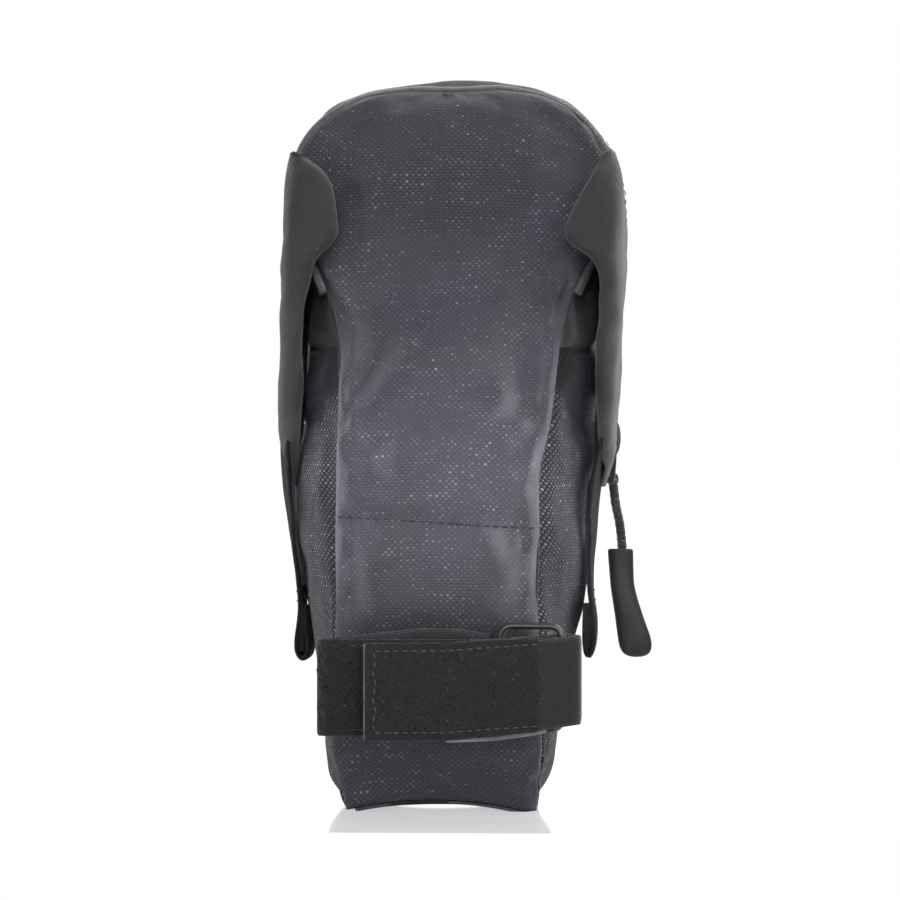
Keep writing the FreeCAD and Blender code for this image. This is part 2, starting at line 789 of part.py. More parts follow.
# ---------------------------------------------------------------- cord and grip
# Points of the cord from its eye, the middle of the space inside the bail: x, y, z.
CORD_KNOT = (0.7, 0, -11.6)
CORD_TAIL = (CORD_KNOT, (0.9, 0, -17.0), (1.1, 0, -23.0))
CORD_LOOP = (
    (0.6, 0.7, -11.0), (0.5, 2.3, -6.6), (0.2, 2.35, -1.8), (0, 0, 0.7),
    (0.2, -2.35, -1.8), (0.5, -2.3, -6.6), (0.6, -0.7, -11.0),
)


def make_cord():
    """Loop, knot and tail of the pull cord. Returns the tail's lower end."""
    eye_out = SLIDER_OUTER + (Dims.bail_high - 2 * Dims.bail_wire) / 2
    eye_x, eye_z = leg_point(Dims.slider_start.value, eye_out.value)
    eye = V(eye_x, Dims.zip_mid_y.value, eye_z)
    low_end = eye + V(Dims.cord_out.value + 1.2, 0, -Dims.cord_drop.value)
    tail = swept("cord_tail", [eye + V(*at) for at in CORD_TAIL] + [low_end], Dims.cord_rad)
    loop = swept("cord_loop", [eye + V(*at) for at in CORD_LOOP], Dims.loop_rad)
    knot = doc.addObject("Part::Sphere", "cord_knot")
    knot.Radius = Dims.knot_rad.value
    knot.setExpression("Radius", Dims.knot_rad.text)
    knot.Placement = FreeCAD.Placement(eye + V(*CORD_KNOT), FreeCAD.Rotation())
    node(fuse("pull_cord", tail, loop, knot))
    return low_end


def make_grip(cord_end):
    """The grip moulded on the cord's lower end, chamfered round its front and back faces."""
    grip = new_body("pull_grip")
    half_top, half_low = Dims.grip_top_wide / 2, Dims.grip_low_wide / 2
    # distance across, and distance down as a share of the length
    corners = (
        (-half_top, 0), (half_top, 0), (half_top + 0.1, 0.25), (half_low - 0.7, 0.55),
        (half_low + 0.9, 0.86), (half_low - 0.5, 0.97), (half_low - 2.6, 1),
        (-half_low + 3.0, 1), (-half_low + 1.2, 0.95),
    )
    outline = [(across, -Dims.grip_length * share) for across, share in corners]
    moulded = prism(
        grip, "grip", "XZ_Plane", outline, Dims.grip_thick, offset=-Dims.grip_thick / 2
    )
    doc.recompute()
    rims = []
    for i, edge in enumerate(moulded.Shape.Edges):
        first, last = edge.Vertexes[0].Point, edge.Vertexes[-1].Point
        on_face = abs(abs(first.y) - Dims.grip_thick.value / 2) < 1e-4
        if on_face and abs(first.y - last.y) < 1e-4:
            rims.append("Edge%d" % (i + 1))
    chamfer = grip.newObject("PartDesign::Chamfer", "grip_edges")
    chamfer.Base = (moulded, rims)
    chamfer.Size = Dims.grip_chamfer.value
    doc.recompute()
    lean = FreeCAD.Rotation(V(0, 1, 0), -Dims.grip_lean.value)
    grip.Placement = FreeCAD.Placement(cord_end + V(0.1, 0, -0.25), lean)
    node(grip)


# ---------------------------------------------------------------- wings, rail loops and straps
def side_plate(body, stem, word, side, inner_x, thick, outline):
    """An upright plate on one side of the bag, its inner face at inner_x from the middle."""
    offset = inner_x if side > 0 else -(inner_x + thick)
    prism(body, stem, "YZ_Plane", outline, thick, offset=offset, tail="_" + word)


def make_wing(side, word):
    """A flat wing beside the upper body."""
    front, back, top = Dims.wing_front_y, Dims.wing_back_y, Dims.wing_top_z
    loop_front, loop_low = Dims.rail_loop_front_y - 0.8, Dims.rail_loop_low_z
    neck, strap_top = Dims.wing_neck_z, Dims.rail_strap_top_z + 1.5
    outline = [
        (front + 6, top + 1),
        (loop_front, loop_low + Dims.rail_loop_wide + 0.5),
        (loop_front, loop_low - 0.5),
        (front + 4, loop_low - 12),
        (front + 12, neck),
        (Dims.rail_strap_y + 1, strap_top),
        (back - 6, strap_top),
        (back, neck),
        (back + 1, top - 12),
        (back - 5, top - 2),
    ]
    wing = new_body("wing_" + word)
    side_plate(wing, "wing", word, side, Dims.wing_inner_x, Dims.wing_thick, outline)
    node(wing)


def make_rail_loop(side, word):
    """A doubled band that reaches in over the front panel and turns back to the wing."""
    loop = new_body("rail_loop_" + word)
    low, wide = Dims.rail_loop_low_z, Dims.rail_loop_wide
    path = new_sketch(loop, "loop_path_" + word, "XY_Plane", low + wide / 2)
    out_x = side * Dims.rail_loop_out_x
    bend_x = side * (Dims.rail_loop_reach_x + Dims.rail_loop_bend)
    front_y, bend = Dims.rail_loop_front_y.value, Dims.rail_loop_bend.value
    back_y = front_y + 2 * bend
    first, last = (PI / 2, 3 * PI / 2) if side > 0 else (-PI / 2, PI / 2)
    back, turn, front = add_all(path, [
        line((out_x.value, back_y), (bend_x.value, back_y)),
        arc((bend_x.value, front_y + bend), bend, first, last),
        line((bend_x.value, front_y), (out_x.value, front_y)),
    ])
    # an arc runs anticlockwise, so its ends change places on the left
    turn_back, turn_front = (1, 2) if side > 0 else (2, 1)
    tie(path, "Tangent", back, 2, turn, turn_back)
    tie(path, "Tangent", turn, turn_front, front, 1)
    tie(path, "Horizontal", back)
    hold(path, "DistanceX", back, 1, "out_back", out_x)
    hold(path, "DistanceX", front, 2, "out_front", out_x)
    hold(path, "DistanceY", front, 2, "front_at", Dims.rail_loop_front_y)
    dim(path, "Radius", (turn,), "bend", Dims.rail_loop_bend)
    hold(path, "DistanceX", turn, 3, "reach", bend_x)
    doc.recompute()
    profile = new_sketch(loop, "loop_section_" + word, "YZ_Plane", out_x)
    mid_y, half = Dims.rail_loop_front_y + 2 * Dims.rail_loop_bend, Dims.rail_loop_thick / 2
    polygon(profile, rectangle(mid_y - half, mid_y + half, low, low + wide))
    pipe(loop, profile, path, "loop_pipe_" + word)
    node(loop)


def make_rail_strap(side, word):
    """A tail under the wing, its end folded out and up, with a hook patch on its inner face."""
    front, back = Dims.rail_strap_y, Dims.rail_strap_y + Dims.rail_strap_width
    low, thick, inner = Dims.rail_strap_low_z, Dims.rail_strap_thick, Dims.rail_strap_x
    fold_top = low + Dims.rail_fold_long
    margin = Dims.rail_hook_margin
    lean_in = FreeCAD.Placement(
        V(0, 0, 0),
        FreeCAD.Rotation(V(0, 1, 0), side * Dims.rail_strap_lean.value),
        V(side * Dims.rail_strap_pivot_x.value, 0, Dims.rail_strap_top_z.value),
    )
    strap = new_body("rail_strap_" + word)
    tail = rectangle(front, back, low, Dims.rail_strap_top_z)
    side_plate(strap, "strap", word, side, inner, thick, tail)
    fold = rectangle(front, back, low, fold_top)
    side_plate(strap, "fold", word, side, inner + thick, thick, fold)
    hook = new_body("rail_hook_" + word)
    patch = rectangle(
        front + margin, back - margin,
        fold_top + Dims.rail_hook_start, fold_top + Dims.rail_hook_end,
    )
    hook_inner = inner - Dims.hook_thick
    side_plate(hook, "hook", word, side, hook_inner, Dims.hook_thick, patch)
    doc.recompute()
    for body in (strap, hook):
        body.Placement = lean_in
        node(body)


# ---------------------------------------------------------------- seatpost strap
POST_TOP_Z = Dims.post_low_z + Dims.post_width


def make_post_loop():
    """The back run, the left fold and the start of the front run, as one swept band."""
    name = "post_strap_loop_a"
    loop = new_body(name)
    path = new_sketch(loop, name + "_path", "XY_Plane", Dims.post_low_z + Dims.post_width / 2)
    anchor = Dims.ring_left_x - Dims.post_anchor_gap
    fold_rad = (Dims.post_back_y - Dims.post_front_y) / 2
    fold_x = Dims.post_left_x + fold_rad
    run_end = Dims.post_right_x - Dims.post_run_start
    back_y, front_y = Dims.post_back_y.value, Dims.post_front_y.value
    back, fold, front = add_all(path, [
        line((anchor.value, back_y), (fold_x.value, back_y)),
        arc((fold_x.value, (back_y + front_y) / 2), fold_rad.value, PI / 2, 3 * PI / 2),
        line((fold_x.value, front_y), (run_end.value, front_y)),
    ])
    tie(path, "Tangent", back, 2, fold, 1)
    tie(path, "Tangent", fold, 2, front, 1)
    tie(path, "Horizontal", back)
    tie(path, "Horizontal", front)
    hold(path, "DistanceX", back, 1, "anchor", anchor)
    hold(path, "DistanceY", back, 1, "back_at", Dims.post_back_y)
    hold(path, "DistanceY", front, 1, "front_at", Dims.post_front_y)
    hold(path, "DistanceX", back, 2, "left_at", fold_x)
    hold(path, "DistanceX", front, 2, "run_end", run_end)
    doc.recompute()
    profile = new_sketch(loop, name + "_section", "YZ_Plane", anchor)
    mid_y, half = Dims.post_back_y, Dims.post_thick / 2
    polygon(profile, rectangle(mid_y - half, mid_y + half, Dims.post_low_z, POST_TOP_Z))
    pipe(loop, profile, path, name + "_pipe")
    return loop


def make_post_strap():
    """The loop fused with the run that passes behind the ring's right bar and folds forward."""
    loop = make_post_loop()
    run = new_body("post_run")
    right, half = Dims.post_right_x, Dims.post_thick / 2
    start, fold_x = right - Dims.post_run_start, right + Dims.post_fold_over
    front_y = Dims.post_front_y
    bar_y = Dims.ring_right_y + Dims.ring_wire + 0.9
    tip_y = Dims.post_end_y + half + 0.25
    outline = [
        (start, front_y - half),
        (right - 18, front_y - half + 0.1),
        (right - 7.6, bar_y - 0.35),
        (right - 2.0, bar_y - 0.35),
        (right - 0.9, bar_y - 1.1),
        (right - 0.9, tip_y),
        (fold_x, tip_y),
        (fold_x, bar_y - 0.1),
        (right - 1.2, bar_y + 1.05),
        (right - 7.6, bar_y + 1.05),
        (right - 18, front_y + half + 0.1),
        (start, front_y + half),
    ]
    prism(run, "post_run", "XY_Plane", outline, Dims.post_width, offset=Dims.post_low_z)
    node(fuse("post_strap", loop, run))


def upright_plate(name, stem, back_y, thick, outline):
    """A plate facing front and back, its back face at back_y."""
    body = new_body(name)
    prism(body, stem, "XZ_Plane", outline, thick, offset=-back_y)
    node(body)


def make_post_plates():
    """The pile on the front run, the strap's free end, and the hook patch facing the pile."""
    low, half = Dims.post_low_z, Dims.post_thick / 2
    right, tip = Dims.post_right_x, Dims.post_end_x
    fold_x = right + Dims.post_fold_over
    end_back_y = Dims.post_end_y + half
    pile = rectangle(Dims.post_left_x + 3.4, right - 22, low + 0.6, POST_TOP_Z - 0.6)
    upright_plate(
        "post_pile", "pile", Dims.post_front_y - half, Dims.post_pile_thick, pile
    )
    end = [
        (tip, low - 0.7), (fold_x, low + 0.1), (fold_x, POST_TOP_Z + 0.1),
        (tip, POST_TOP_Z - 0.7),
    ]
    upright_plate("post_strap_end", "end", end_back_y, Dims.post_thick, end)
    hook = rectangle(tip + 1, Dims.ring_left_x - 2.5, low + 1.2, POST_TOP_Z - 2)
    upright_plate(
        "post_hook", "post_hook", end_back_y + Dims.post_hook_thick,
        Dims.post_hook_thick, hook,
    )


def make_ring():
    """One loop of wire, its left bar behind the strap and its right bar in front of it."""
    across = (Dims.ring_right_x - Dims.ring_left_x).value
    forward = (Dims.ring_left_y - Dims.ring_right_y).value
    half_x = math.hypot(across, forward) / 2
    half_tall = Dims.ring_tall / 2 - Dims.ring_wire
    half_z, corner = half_tall.value, Dims.ring_corner.value
    bend_x, bend_z = half_x - corner, half_z - corner
    ring = new_body("strap_ring")
    path = new_sketch(ring, "ring_path", "XZ_Plane")
    # clockwise from the middle of the left bar
    edges = add_all(path, [
        line((-half_x, 0), (-half_x, bend_z)),
        arc((-bend_x, bend_z), corner, PI / 2, PI),
        line((-bend_x, half_z), (bend_x, half_z)),
        arc((bend_x, bend_z), corner, 0, PI / 2),
        line((half_x, bend_z), (half_x, -bend_z)),
        arc((bend_x, -bend_z), corner, -PI / 2, 0),
        line((bend_x, -half_z), (-bend_x, -half_z)),
        arc((-bend_x, -bend_z), corner, PI, 3 * PI / 2),
        line((-half_x, -bend_z), (-half_x, 0)),
    ])
    # arcs run anticlockwise, so each line enters an arc at its end and leaves at its start
    for i in range(0, 8, 2):
        tie(path, "Tangent", edges[i], 2, edges[i + 1], 2)
        tie(path, "Tangent", edges[i + 1], 1, edges[i + 2], 1)
    tie(path, "Coincident", edges[8], 2, edges[0], 1)
    tie(path, "Vertical", edges[0])
    tie(path, "PointOnObject", edges[0], 1, -1)
    for i in (3, 5, 7):
        tie(path, "Equal", edges[1], edges[i])
    dim(path, "Radius", (edges[1],), "corner", Dims.ring_corner)
    dim(path, "DistanceY", (-1, 1, edges[2], 1), "top_at", half_tall)
    dim(path, "DistanceY", (edges[6], 1, -1, 1), "low_at", half_tall)
    doc.recompute()
    profile = new_sketch(ring, "ring_section", "XY_Plane")
    wire = profile.addGeometry(Part.Circle(V(-half_x, 0, 0), UP, Dims.ring_wire.value), False)
    dim(profile, "Radius", (wire,), "wire", Dims.ring_wire)
    tie(profile, "PointOnObject", wire, 3, -1)
    pipe(ring, profile, path, "ring_pipe")
    centre = V(
        ((Dims.ring_left_x + Dims.ring_right_x) / 2).value,
        ((Dims.ring_left_y + Dims.ring_right_y) / 2).value,
        (Dims.post_low_z + Dims.post_width / 2 + Dims.ring_rise).value,
    )
    lean = math.degrees(math.atan2(forward, across))
    ring.Placement = FreeCAD.Placement(centre, FreeCAD.Rotation(UP, -lean))
    node(ring)


def make_ring_tab():
    """A short web round the ring's left bar, sewn at the end of the strap's back run."""
    tab = new_body("ring_tab")
    bar_x, bar_y, back_y = Dims.ring_left_x, Dims.ring_left_y, Dims.post_back_y
    half, margin = Dims.post_thick / 2, Dims.tab_margin
    outline = [
        (bar_x - 4.4, back_y - half), (bar_x - 4.4, back_y + half),
        (bar_x + 1.2, back_y + half), (bar_x + 2.4, bar_y + 1.2),
        (bar_x + 2.4, bar_y - 1.0), (bar_x + 1.2, bar_y - 2.0),
        (bar_x - 1.4, bar_y - 2.0), (bar_x - 3.2, bar_y - 0.2),
    ]
    prism(
        tab, "tab", "XY_Plane", outline, Dims.post_width - 2 * margin,
        offset=Dims.post_low_z + margin,
    )
    sketch = new_sketch(tab, "tab_hole_line", "XY_Plane", Dims.post_low_z)
    radius = Dims.ring_wire + Dims.tab_hole_clear
    circle = Part.Circle(V(bar_x.value, bar_y.value, 0), UP, radius.value)
    hole = sketch.addGeometry(circle, False)
    dim(sketch, "Radius", (hole,), "hole", radius)
    hold(sketch, "DistanceX", hole, 3, "hole_x", bar_x)
    hold(sketch, "DistanceY", hole, 3, "hole_y", bar_y)
    cut_through(tab, sketch, "tab_hole")
    doc.recompute()
    node(tab)


# ---------------------------------------------------------------- binding, boards and trim
# Points of the front binding over the crown, from the right to the middle: x, y, z.
BINDING_CROWN = ((15.6, 15.4, 186.4), (7.6, 15.9, 187.15), (0, 16.1, 187.3))


def seam_point(key):
    """Where the front panel's edge lies on the right of an upper section, 0.2 outside it."""
    lap = (Dims.front_lap * Dims.upper_lap_share).value
    radius = station(key, "frontrad").value
    centre_x = station(key, "halffront").value - radius
    x = centre_x + math.sqrt(radius ** 2 - (radius - lap) ** 2) + 0.2
    return V(x, station(key, "fronty").value + lap, station(key, "height").value)


def make_front_binding(outer):
    """A round binding over the front panel's upper edge, kept outside the shell."""
    right = [seam_point(key) for key in "jkmn"] + [V(*at) for at in BINDING_CROWN]
    left = [V(-at.x, at.y, at.z) for at in right[-2::-1]]
    sweep = swept("binding_sweep", right + left, Dims.binding_rad)
    outside = cut("binding_outside", sweep, outer)
    # the ends stay clear of the wings
    reach = Dims.wing_inner_x - 0.1
    box = block("binding_box", (-reach, reach), ALL_Y, (90, CLEAR_TOP))
    node(common("front_binding", outside, box))


def make_boards():
    """Stiffeners inside the lining: one over the base and one up the back."""
    base = new_body("base_board")
    outline = [(-18, -10.5), (18, -10.5), (17, 10.5), (-17, 10.5)]
    prism(
        base, "base_board", "XY_Plane", outline, Dims.board_thick,
        offset=Dims.wall_thick + Dims.lining_thick + Dims.base_board_lift,
    )
    node(base)
    back = new_body("back_board")
    low_y, low_z = station("b", "backy") - 5.6, station("b", "height") + 1
    top_y, top_z = station("f", "backy") - 5.0, station("f", "height") + 4
    outline = [
        (low_y, low_z), (top_y, top_z),
        (top_y - Dims.board_thick, top_z), (low_y - Dims.board_thick, low_z),
    ]
    prism(back, "back_board", "YZ_Plane", outline, Dims.back_board_wide, midplane=True)
    node(back)


def make_light_loop():
    """A web on the lid's back, its middle standing off."""
    loop = new_body("light_loop")
    back_y, thick = station("j", "backy"), Dims.light_loop_thick
    low_y, mid_y, top_y = back_y + 0.35, back_y + 3.4, back_y + 0.45
    outline = [
        (low_y, 120), (low_y, 124), (mid_y, 128), (mid_y, 144), (top_y, 149), (top_y, 153),
        (top_y + thick, 153), (mid_y + thick, 145.5), (mid_y + thick, 126.5),
        (low_y + thick, 122), (low_y + thick, 120),
    ]
    prism(loop, "light_loop", "YZ_Plane", outline, Dims.light_loop_wide, midplane=True)
    node(loop)


def make_reflective_strip():
    """A flat strip across the lid's back, above the light loop."""
    half, low, thick = Dims.reflect_wide / 2, Dims.reflect_low_z, Dims.reflect_thick
    back_y = station("k", "backy") + Dims.reflect_gap + thick
    outline = rectangle(-half, half, low, low + Dims.reflect_tall)
    upright_plate("reflective_strip", "reflect", back_y, thick, outline)


# ---------------------------------------------------------------- build, check and write
def build():
    outer = make_shell()
    make_zip_bands()
    make_zip_stops()
    make_slider()
    make_bail()
    cord_end = make_cord()
    make_grip(cord_end)
    for make in (make_wing, make_rail_loop, make_rail_strap):
        for side, word in SIDES:
            make(side, word)
    make_post_strap()
    make_post_plates()
    make_ring()
    make_ring_tab()
    make_front_binding(outer)
    make_boards()
    make_light_loop()
    make_reflective_strip()
    doc.recompute()


def check():
    """Stops the script if an object failed or a piece has no valid solid."""
    faults = []
    for item in doc.Objects:
        if any(word in item.State for word in ("Invalid", "Error")):
            faults.append("%s is %s" % (item.Name, item.getStatusString()))
    for piece, name in NODES:
        shape = piece.Shape
        if shape.isNull() or not shape.isValid() or not shape.Solids:
            faults.append("%s has no valid solid" % name)
    if faults:
        raise SystemExit("\n".join(faults))


build()
check()
os.makedirs("parts", exist_ok=True)
for old in os.listdir("parts"):
    if old.endswith(".step"):
        os.remove(os.path.join("parts", old))
for piece, name in NODES:
    piece.Shape.exportStep(os.path.join("parts", name + ".step"))
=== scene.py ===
import math
import random

import bpy
import numpy as np
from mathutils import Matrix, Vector


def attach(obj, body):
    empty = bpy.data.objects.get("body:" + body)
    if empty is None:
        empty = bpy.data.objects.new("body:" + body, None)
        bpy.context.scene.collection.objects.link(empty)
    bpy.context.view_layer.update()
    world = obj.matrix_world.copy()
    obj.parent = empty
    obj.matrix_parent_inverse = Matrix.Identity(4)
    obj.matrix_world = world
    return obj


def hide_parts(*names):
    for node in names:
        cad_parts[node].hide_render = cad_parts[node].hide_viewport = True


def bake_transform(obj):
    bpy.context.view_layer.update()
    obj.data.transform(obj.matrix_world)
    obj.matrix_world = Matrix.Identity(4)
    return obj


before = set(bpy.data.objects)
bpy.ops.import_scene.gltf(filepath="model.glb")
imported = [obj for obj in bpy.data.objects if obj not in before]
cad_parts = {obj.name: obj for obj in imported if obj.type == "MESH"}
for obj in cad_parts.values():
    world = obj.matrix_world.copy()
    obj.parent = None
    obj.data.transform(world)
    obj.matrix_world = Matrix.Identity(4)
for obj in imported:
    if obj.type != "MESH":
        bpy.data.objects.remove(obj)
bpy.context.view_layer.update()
MM = 0.001
RNG = random.Random(11)
SIDE_NAMES = {1: "right", -1: "left"}
BACKWARD = np.array([0, 1.0, 0])


# ------------------------------------------------------------------ small maths
def pchip(xs, ys, x):
    """Monotone cubic through a table, so that a profile has no overshoot."""
    xs, ys = np.asarray(xs, float), np.asarray(ys, float)
    h = np.diff(xs)
    d = np.diff(ys) / h
    m = np.zeros(len(xs))
    m[0], m[-1] = d[0], d[-1]
    for i in range(1, len(xs) - 1):
        if d[i - 1] * d[i] > 0:
            w1, w2 = 2 * h[i] + h[i - 1], h[i] + 2 * h[i - 1]
            m[i] = (w1 + w2) / (w1 / d[i - 1] + w2 / d[i])
    x = np.clip(np.asarray(x, float), xs[0], xs[-1])
    k = np.clip(np.searchsorted(xs, x) - 1, 0, len(xs) - 2)
    t = (x - xs[k]) / h[k]
    return (
        ys[k] * (1 + 2 * t) * (1 - t) ** 2 + m[k] * h[k] * t * (1 - t) ** 2
        + ys[k + 1] * t * t * (3 - 2 * t) + m[k + 1] * h[k] * t * t * (t - 1)
    )


def smooth(a, b, x):
    """0 at a, 1 at b, with a soft start and end."""
    t = np.clip((np.asarray(x, float) - a) / (b - a), 0, 1)
    return t * t * (3 - 2 * t)


def bell(x, centre, width):
    return np.exp(-((x - centre) / width) ** 2)


def unit(v):
    return v / (np.linalg.norm(v, axis=-1, keepdims=True) + 1e-12)


def points(x, y, z):
    """Points from coordinates, each a number or an array."""
    return np.stack(np.broadcast_arrays(x, y, z), -1)


def arc_length(path):
    return np.r_[0, np.cumsum(np.linalg.norm(np.diff(path, axis=0), axis=1))]


def interp_rows(x, xs, rows):
    """Interpolate every column of rows at x."""
    return np.stack([np.interp(x, xs, column_) for column_ in rows.T], -1)


def resample(path, n):
    """n + 1 points evenly spaced by length."""
    path = np.asarray(path, float)
    s = arc_length(path)
    return interp_rows(np.linspace(0, s[-1], n + 1), s, path)


def catmull(pts, n):
    """n + 1 points evenly spaced by length on a smooth curve through pts."""
    p = np.asarray(pts, float)
    q = np.vstack([2 * p[0] - p[1], p, 2 * p[-1] - p[-2]])
    out = []
    for a, b, c, d in zip(q, q[1:], q[2:], q[3:]):
        for t in np.linspace(0, 1, 24, endpoint=False):
            out.append(0.5 * (2 * b + (c - a) * t + (2 * a - 5 * b + 4 * c - d) * t * t
                              + (3 * b - a - 3 * c + d) * t ** 3))
    out.append(p[-1])
    return resample(out, n)


def relax(path, passes):
    """Even out a line, its ends held."""
    p = np.array(path)
    for _ in range(passes):
        p[1:-1] = (p[:-2] + 2 * p[1:-1] + p[2:]) / 4
    return p


def waves(x, y, z, seed, scale, octaves=4):
    """A smooth repeatable ripple of about -1..1, from sines in scattered directions."""
    r = random.Random(seed)
    total, amp, norm = 0.0, 1.0, 0.0
    for octave in range(octaves):
        for _ in range(5):
            a, b, c = (r.uniform(-1, 1) for _ in range(3))
            length = math.sqrt(a * a + b * b + c * c) + 1e-6
            f = 2 * math.pi / (scale / (1.9 ** octave)) * r.uniform(0.75, 1.25)
            phase = r.uniform(0, 6.28)
            total = total + amp * np.sin((a * x + b * y + c * z) / length * f + phase)
        norm += amp * 2.2
        amp *= 0.5
    return total / norm


# ------------------------------------------------------------------ shader graphs
def math_method(operation):
    return lambda self, *terms: self.graph.math(operation, self, *terms)


class Value:
    """A shader socket whose arithmetic adds Math nodes to its graph."""
    __add__ = math_method("ADD")
    __sub__ = math_method("SUBTRACT")
    __mul__ = math_method("MULTIPLY")
    __truediv__ = math_method("DIVIDE")
    __pow__ = math_method("POWER")
    scale_add = math_method("MULTIPLY_ADD")
    pingpong = math_method("PINGPONG")
    sin = math_method("SINE")
    fract = math_method("FRACT")
    floor = math_method("FLOOR")
    absolute = math_method("ABSOLUTE")

    def __init__(self, graph, socket):
        self.graph = graph
        self.socket = socket

    def __radd__(self, other):
        return self.graph.math("ADD", other, self)


class Graph:
    """Adds nodes to a node tree. Inputs may be numbers, colours, sockets or Values."""

    def __init__(self, tree):
        self.tree = tree

    def node(self, kind, **props):
        node = self.tree.nodes.new(kind)
        for key, value in props.items():
            setattr(node, key, value)
        return node

    def put(self, socket, value):
        if isinstance(value, Value):
            value = value.socket
        if isinstance(value, bpy.types.NodeSocket):
            self.tree.links.new(value, socket)
        else:
            socket.default_value = value

    def fill(self, node, values):
        """Set inputs by name or number, and return the node's first output."""
        for key, value in values.items():
            self.put(node.inputs[key], value)
        return Value(self, node.outputs[0])

    def math(self, operation, a, b=0.0, c=0.0, clamp=False):
        node = self.node("ShaderNodeMath", operation=operation, use_clamp=clamp)
        return self.fill(node, {0: a, 1: b, 2: c})

    def product(self, a, b):
        """A product clamped to 0..1."""
        return self.math("MULTIPLY", a, b, clamp=True)

    def mix(self, factor, a, b):
        """Mix two colours."""
        node = self.node("ShaderNodeMix", data_type="RGBA")
        self.fill(node, {0: factor, 6: a, 7: b})
        return Value(self, node.outputs[2])

    def mix_float(self, factor, a, b):
        node = self.node("ShaderNodeMix", data_type="FLOAT")
        return self.fill(node, {0: factor, 2: a, 3: b})

    def split(self, vector):
        node = self.node("ShaderNodeSeparateXYZ")
        self.put(node.inputs[0], vector)
        return [Value(self, out) for out in node.outputs]

    def uv(self):
        return self.split(self.node("ShaderNodeUVMap").outputs[0])[:2]

    def obj(self):
        return self.node("ShaderNodeTexCoord").outputs["Object"]

    def vec(self, x, y, z=0.0):
        return self.fill(self.node("ShaderNodeCombineXYZ"), {0: x, 1: y, 2: z})

    def noise(self, vector, scale, detail=3.0, rough=0.55):
        return self.fill(self.node("ShaderNodeTexNoise"), {
            "Vector": vector, "Scale": scale, "Detail": detail, "Roughness": rough})

    def ramp(self, value, span, to=(0.0, 1.0)):
        """Map the range span to the range to, clamped."""
        node = self.node("ShaderNodeMapRange", clamp=True)
        return self.fill(node, {0: value, 1: span[0], 2: span[1], 3: to[0], 4: to[1]})

    def bump(self, height, distance, strength, normal=None):
        values = {"Strength": strength, "Distance": distance, "Height": height}
        if normal is not None:
            values["Normal"] = normal
        return self.fill(self.node("ShaderNodeBump"), values)

    def white(self, vector):
        node = self.node("ShaderNodeTexWhiteNoise", noise_dimensions="3D")
        return self.fill(node, {"Vector": vector})


def blank_material(name):
    """An empty material: its graph and its output node."""
    material = bpy.data.materials.new(name)
    material.use_nodes = True
    material.node_tree.nodes.clear()
    g = Graph(material.node_tree)
    return material, g, g.node("ShaderNodeOutputMaterial")


def surface_material(name):
    material, g, out = blank_material(name)
    bsdf = g.node("ShaderNodeBsdfPrincipled")
    g.put(out.inputs[0], bsdf.outputs[0])
    return material, g, bsdf


def col(rgb, tint=(1.0, 1.0, 1.0)):
    return (*(c * k for c, k in zip(rgb, tint)), 1.0)


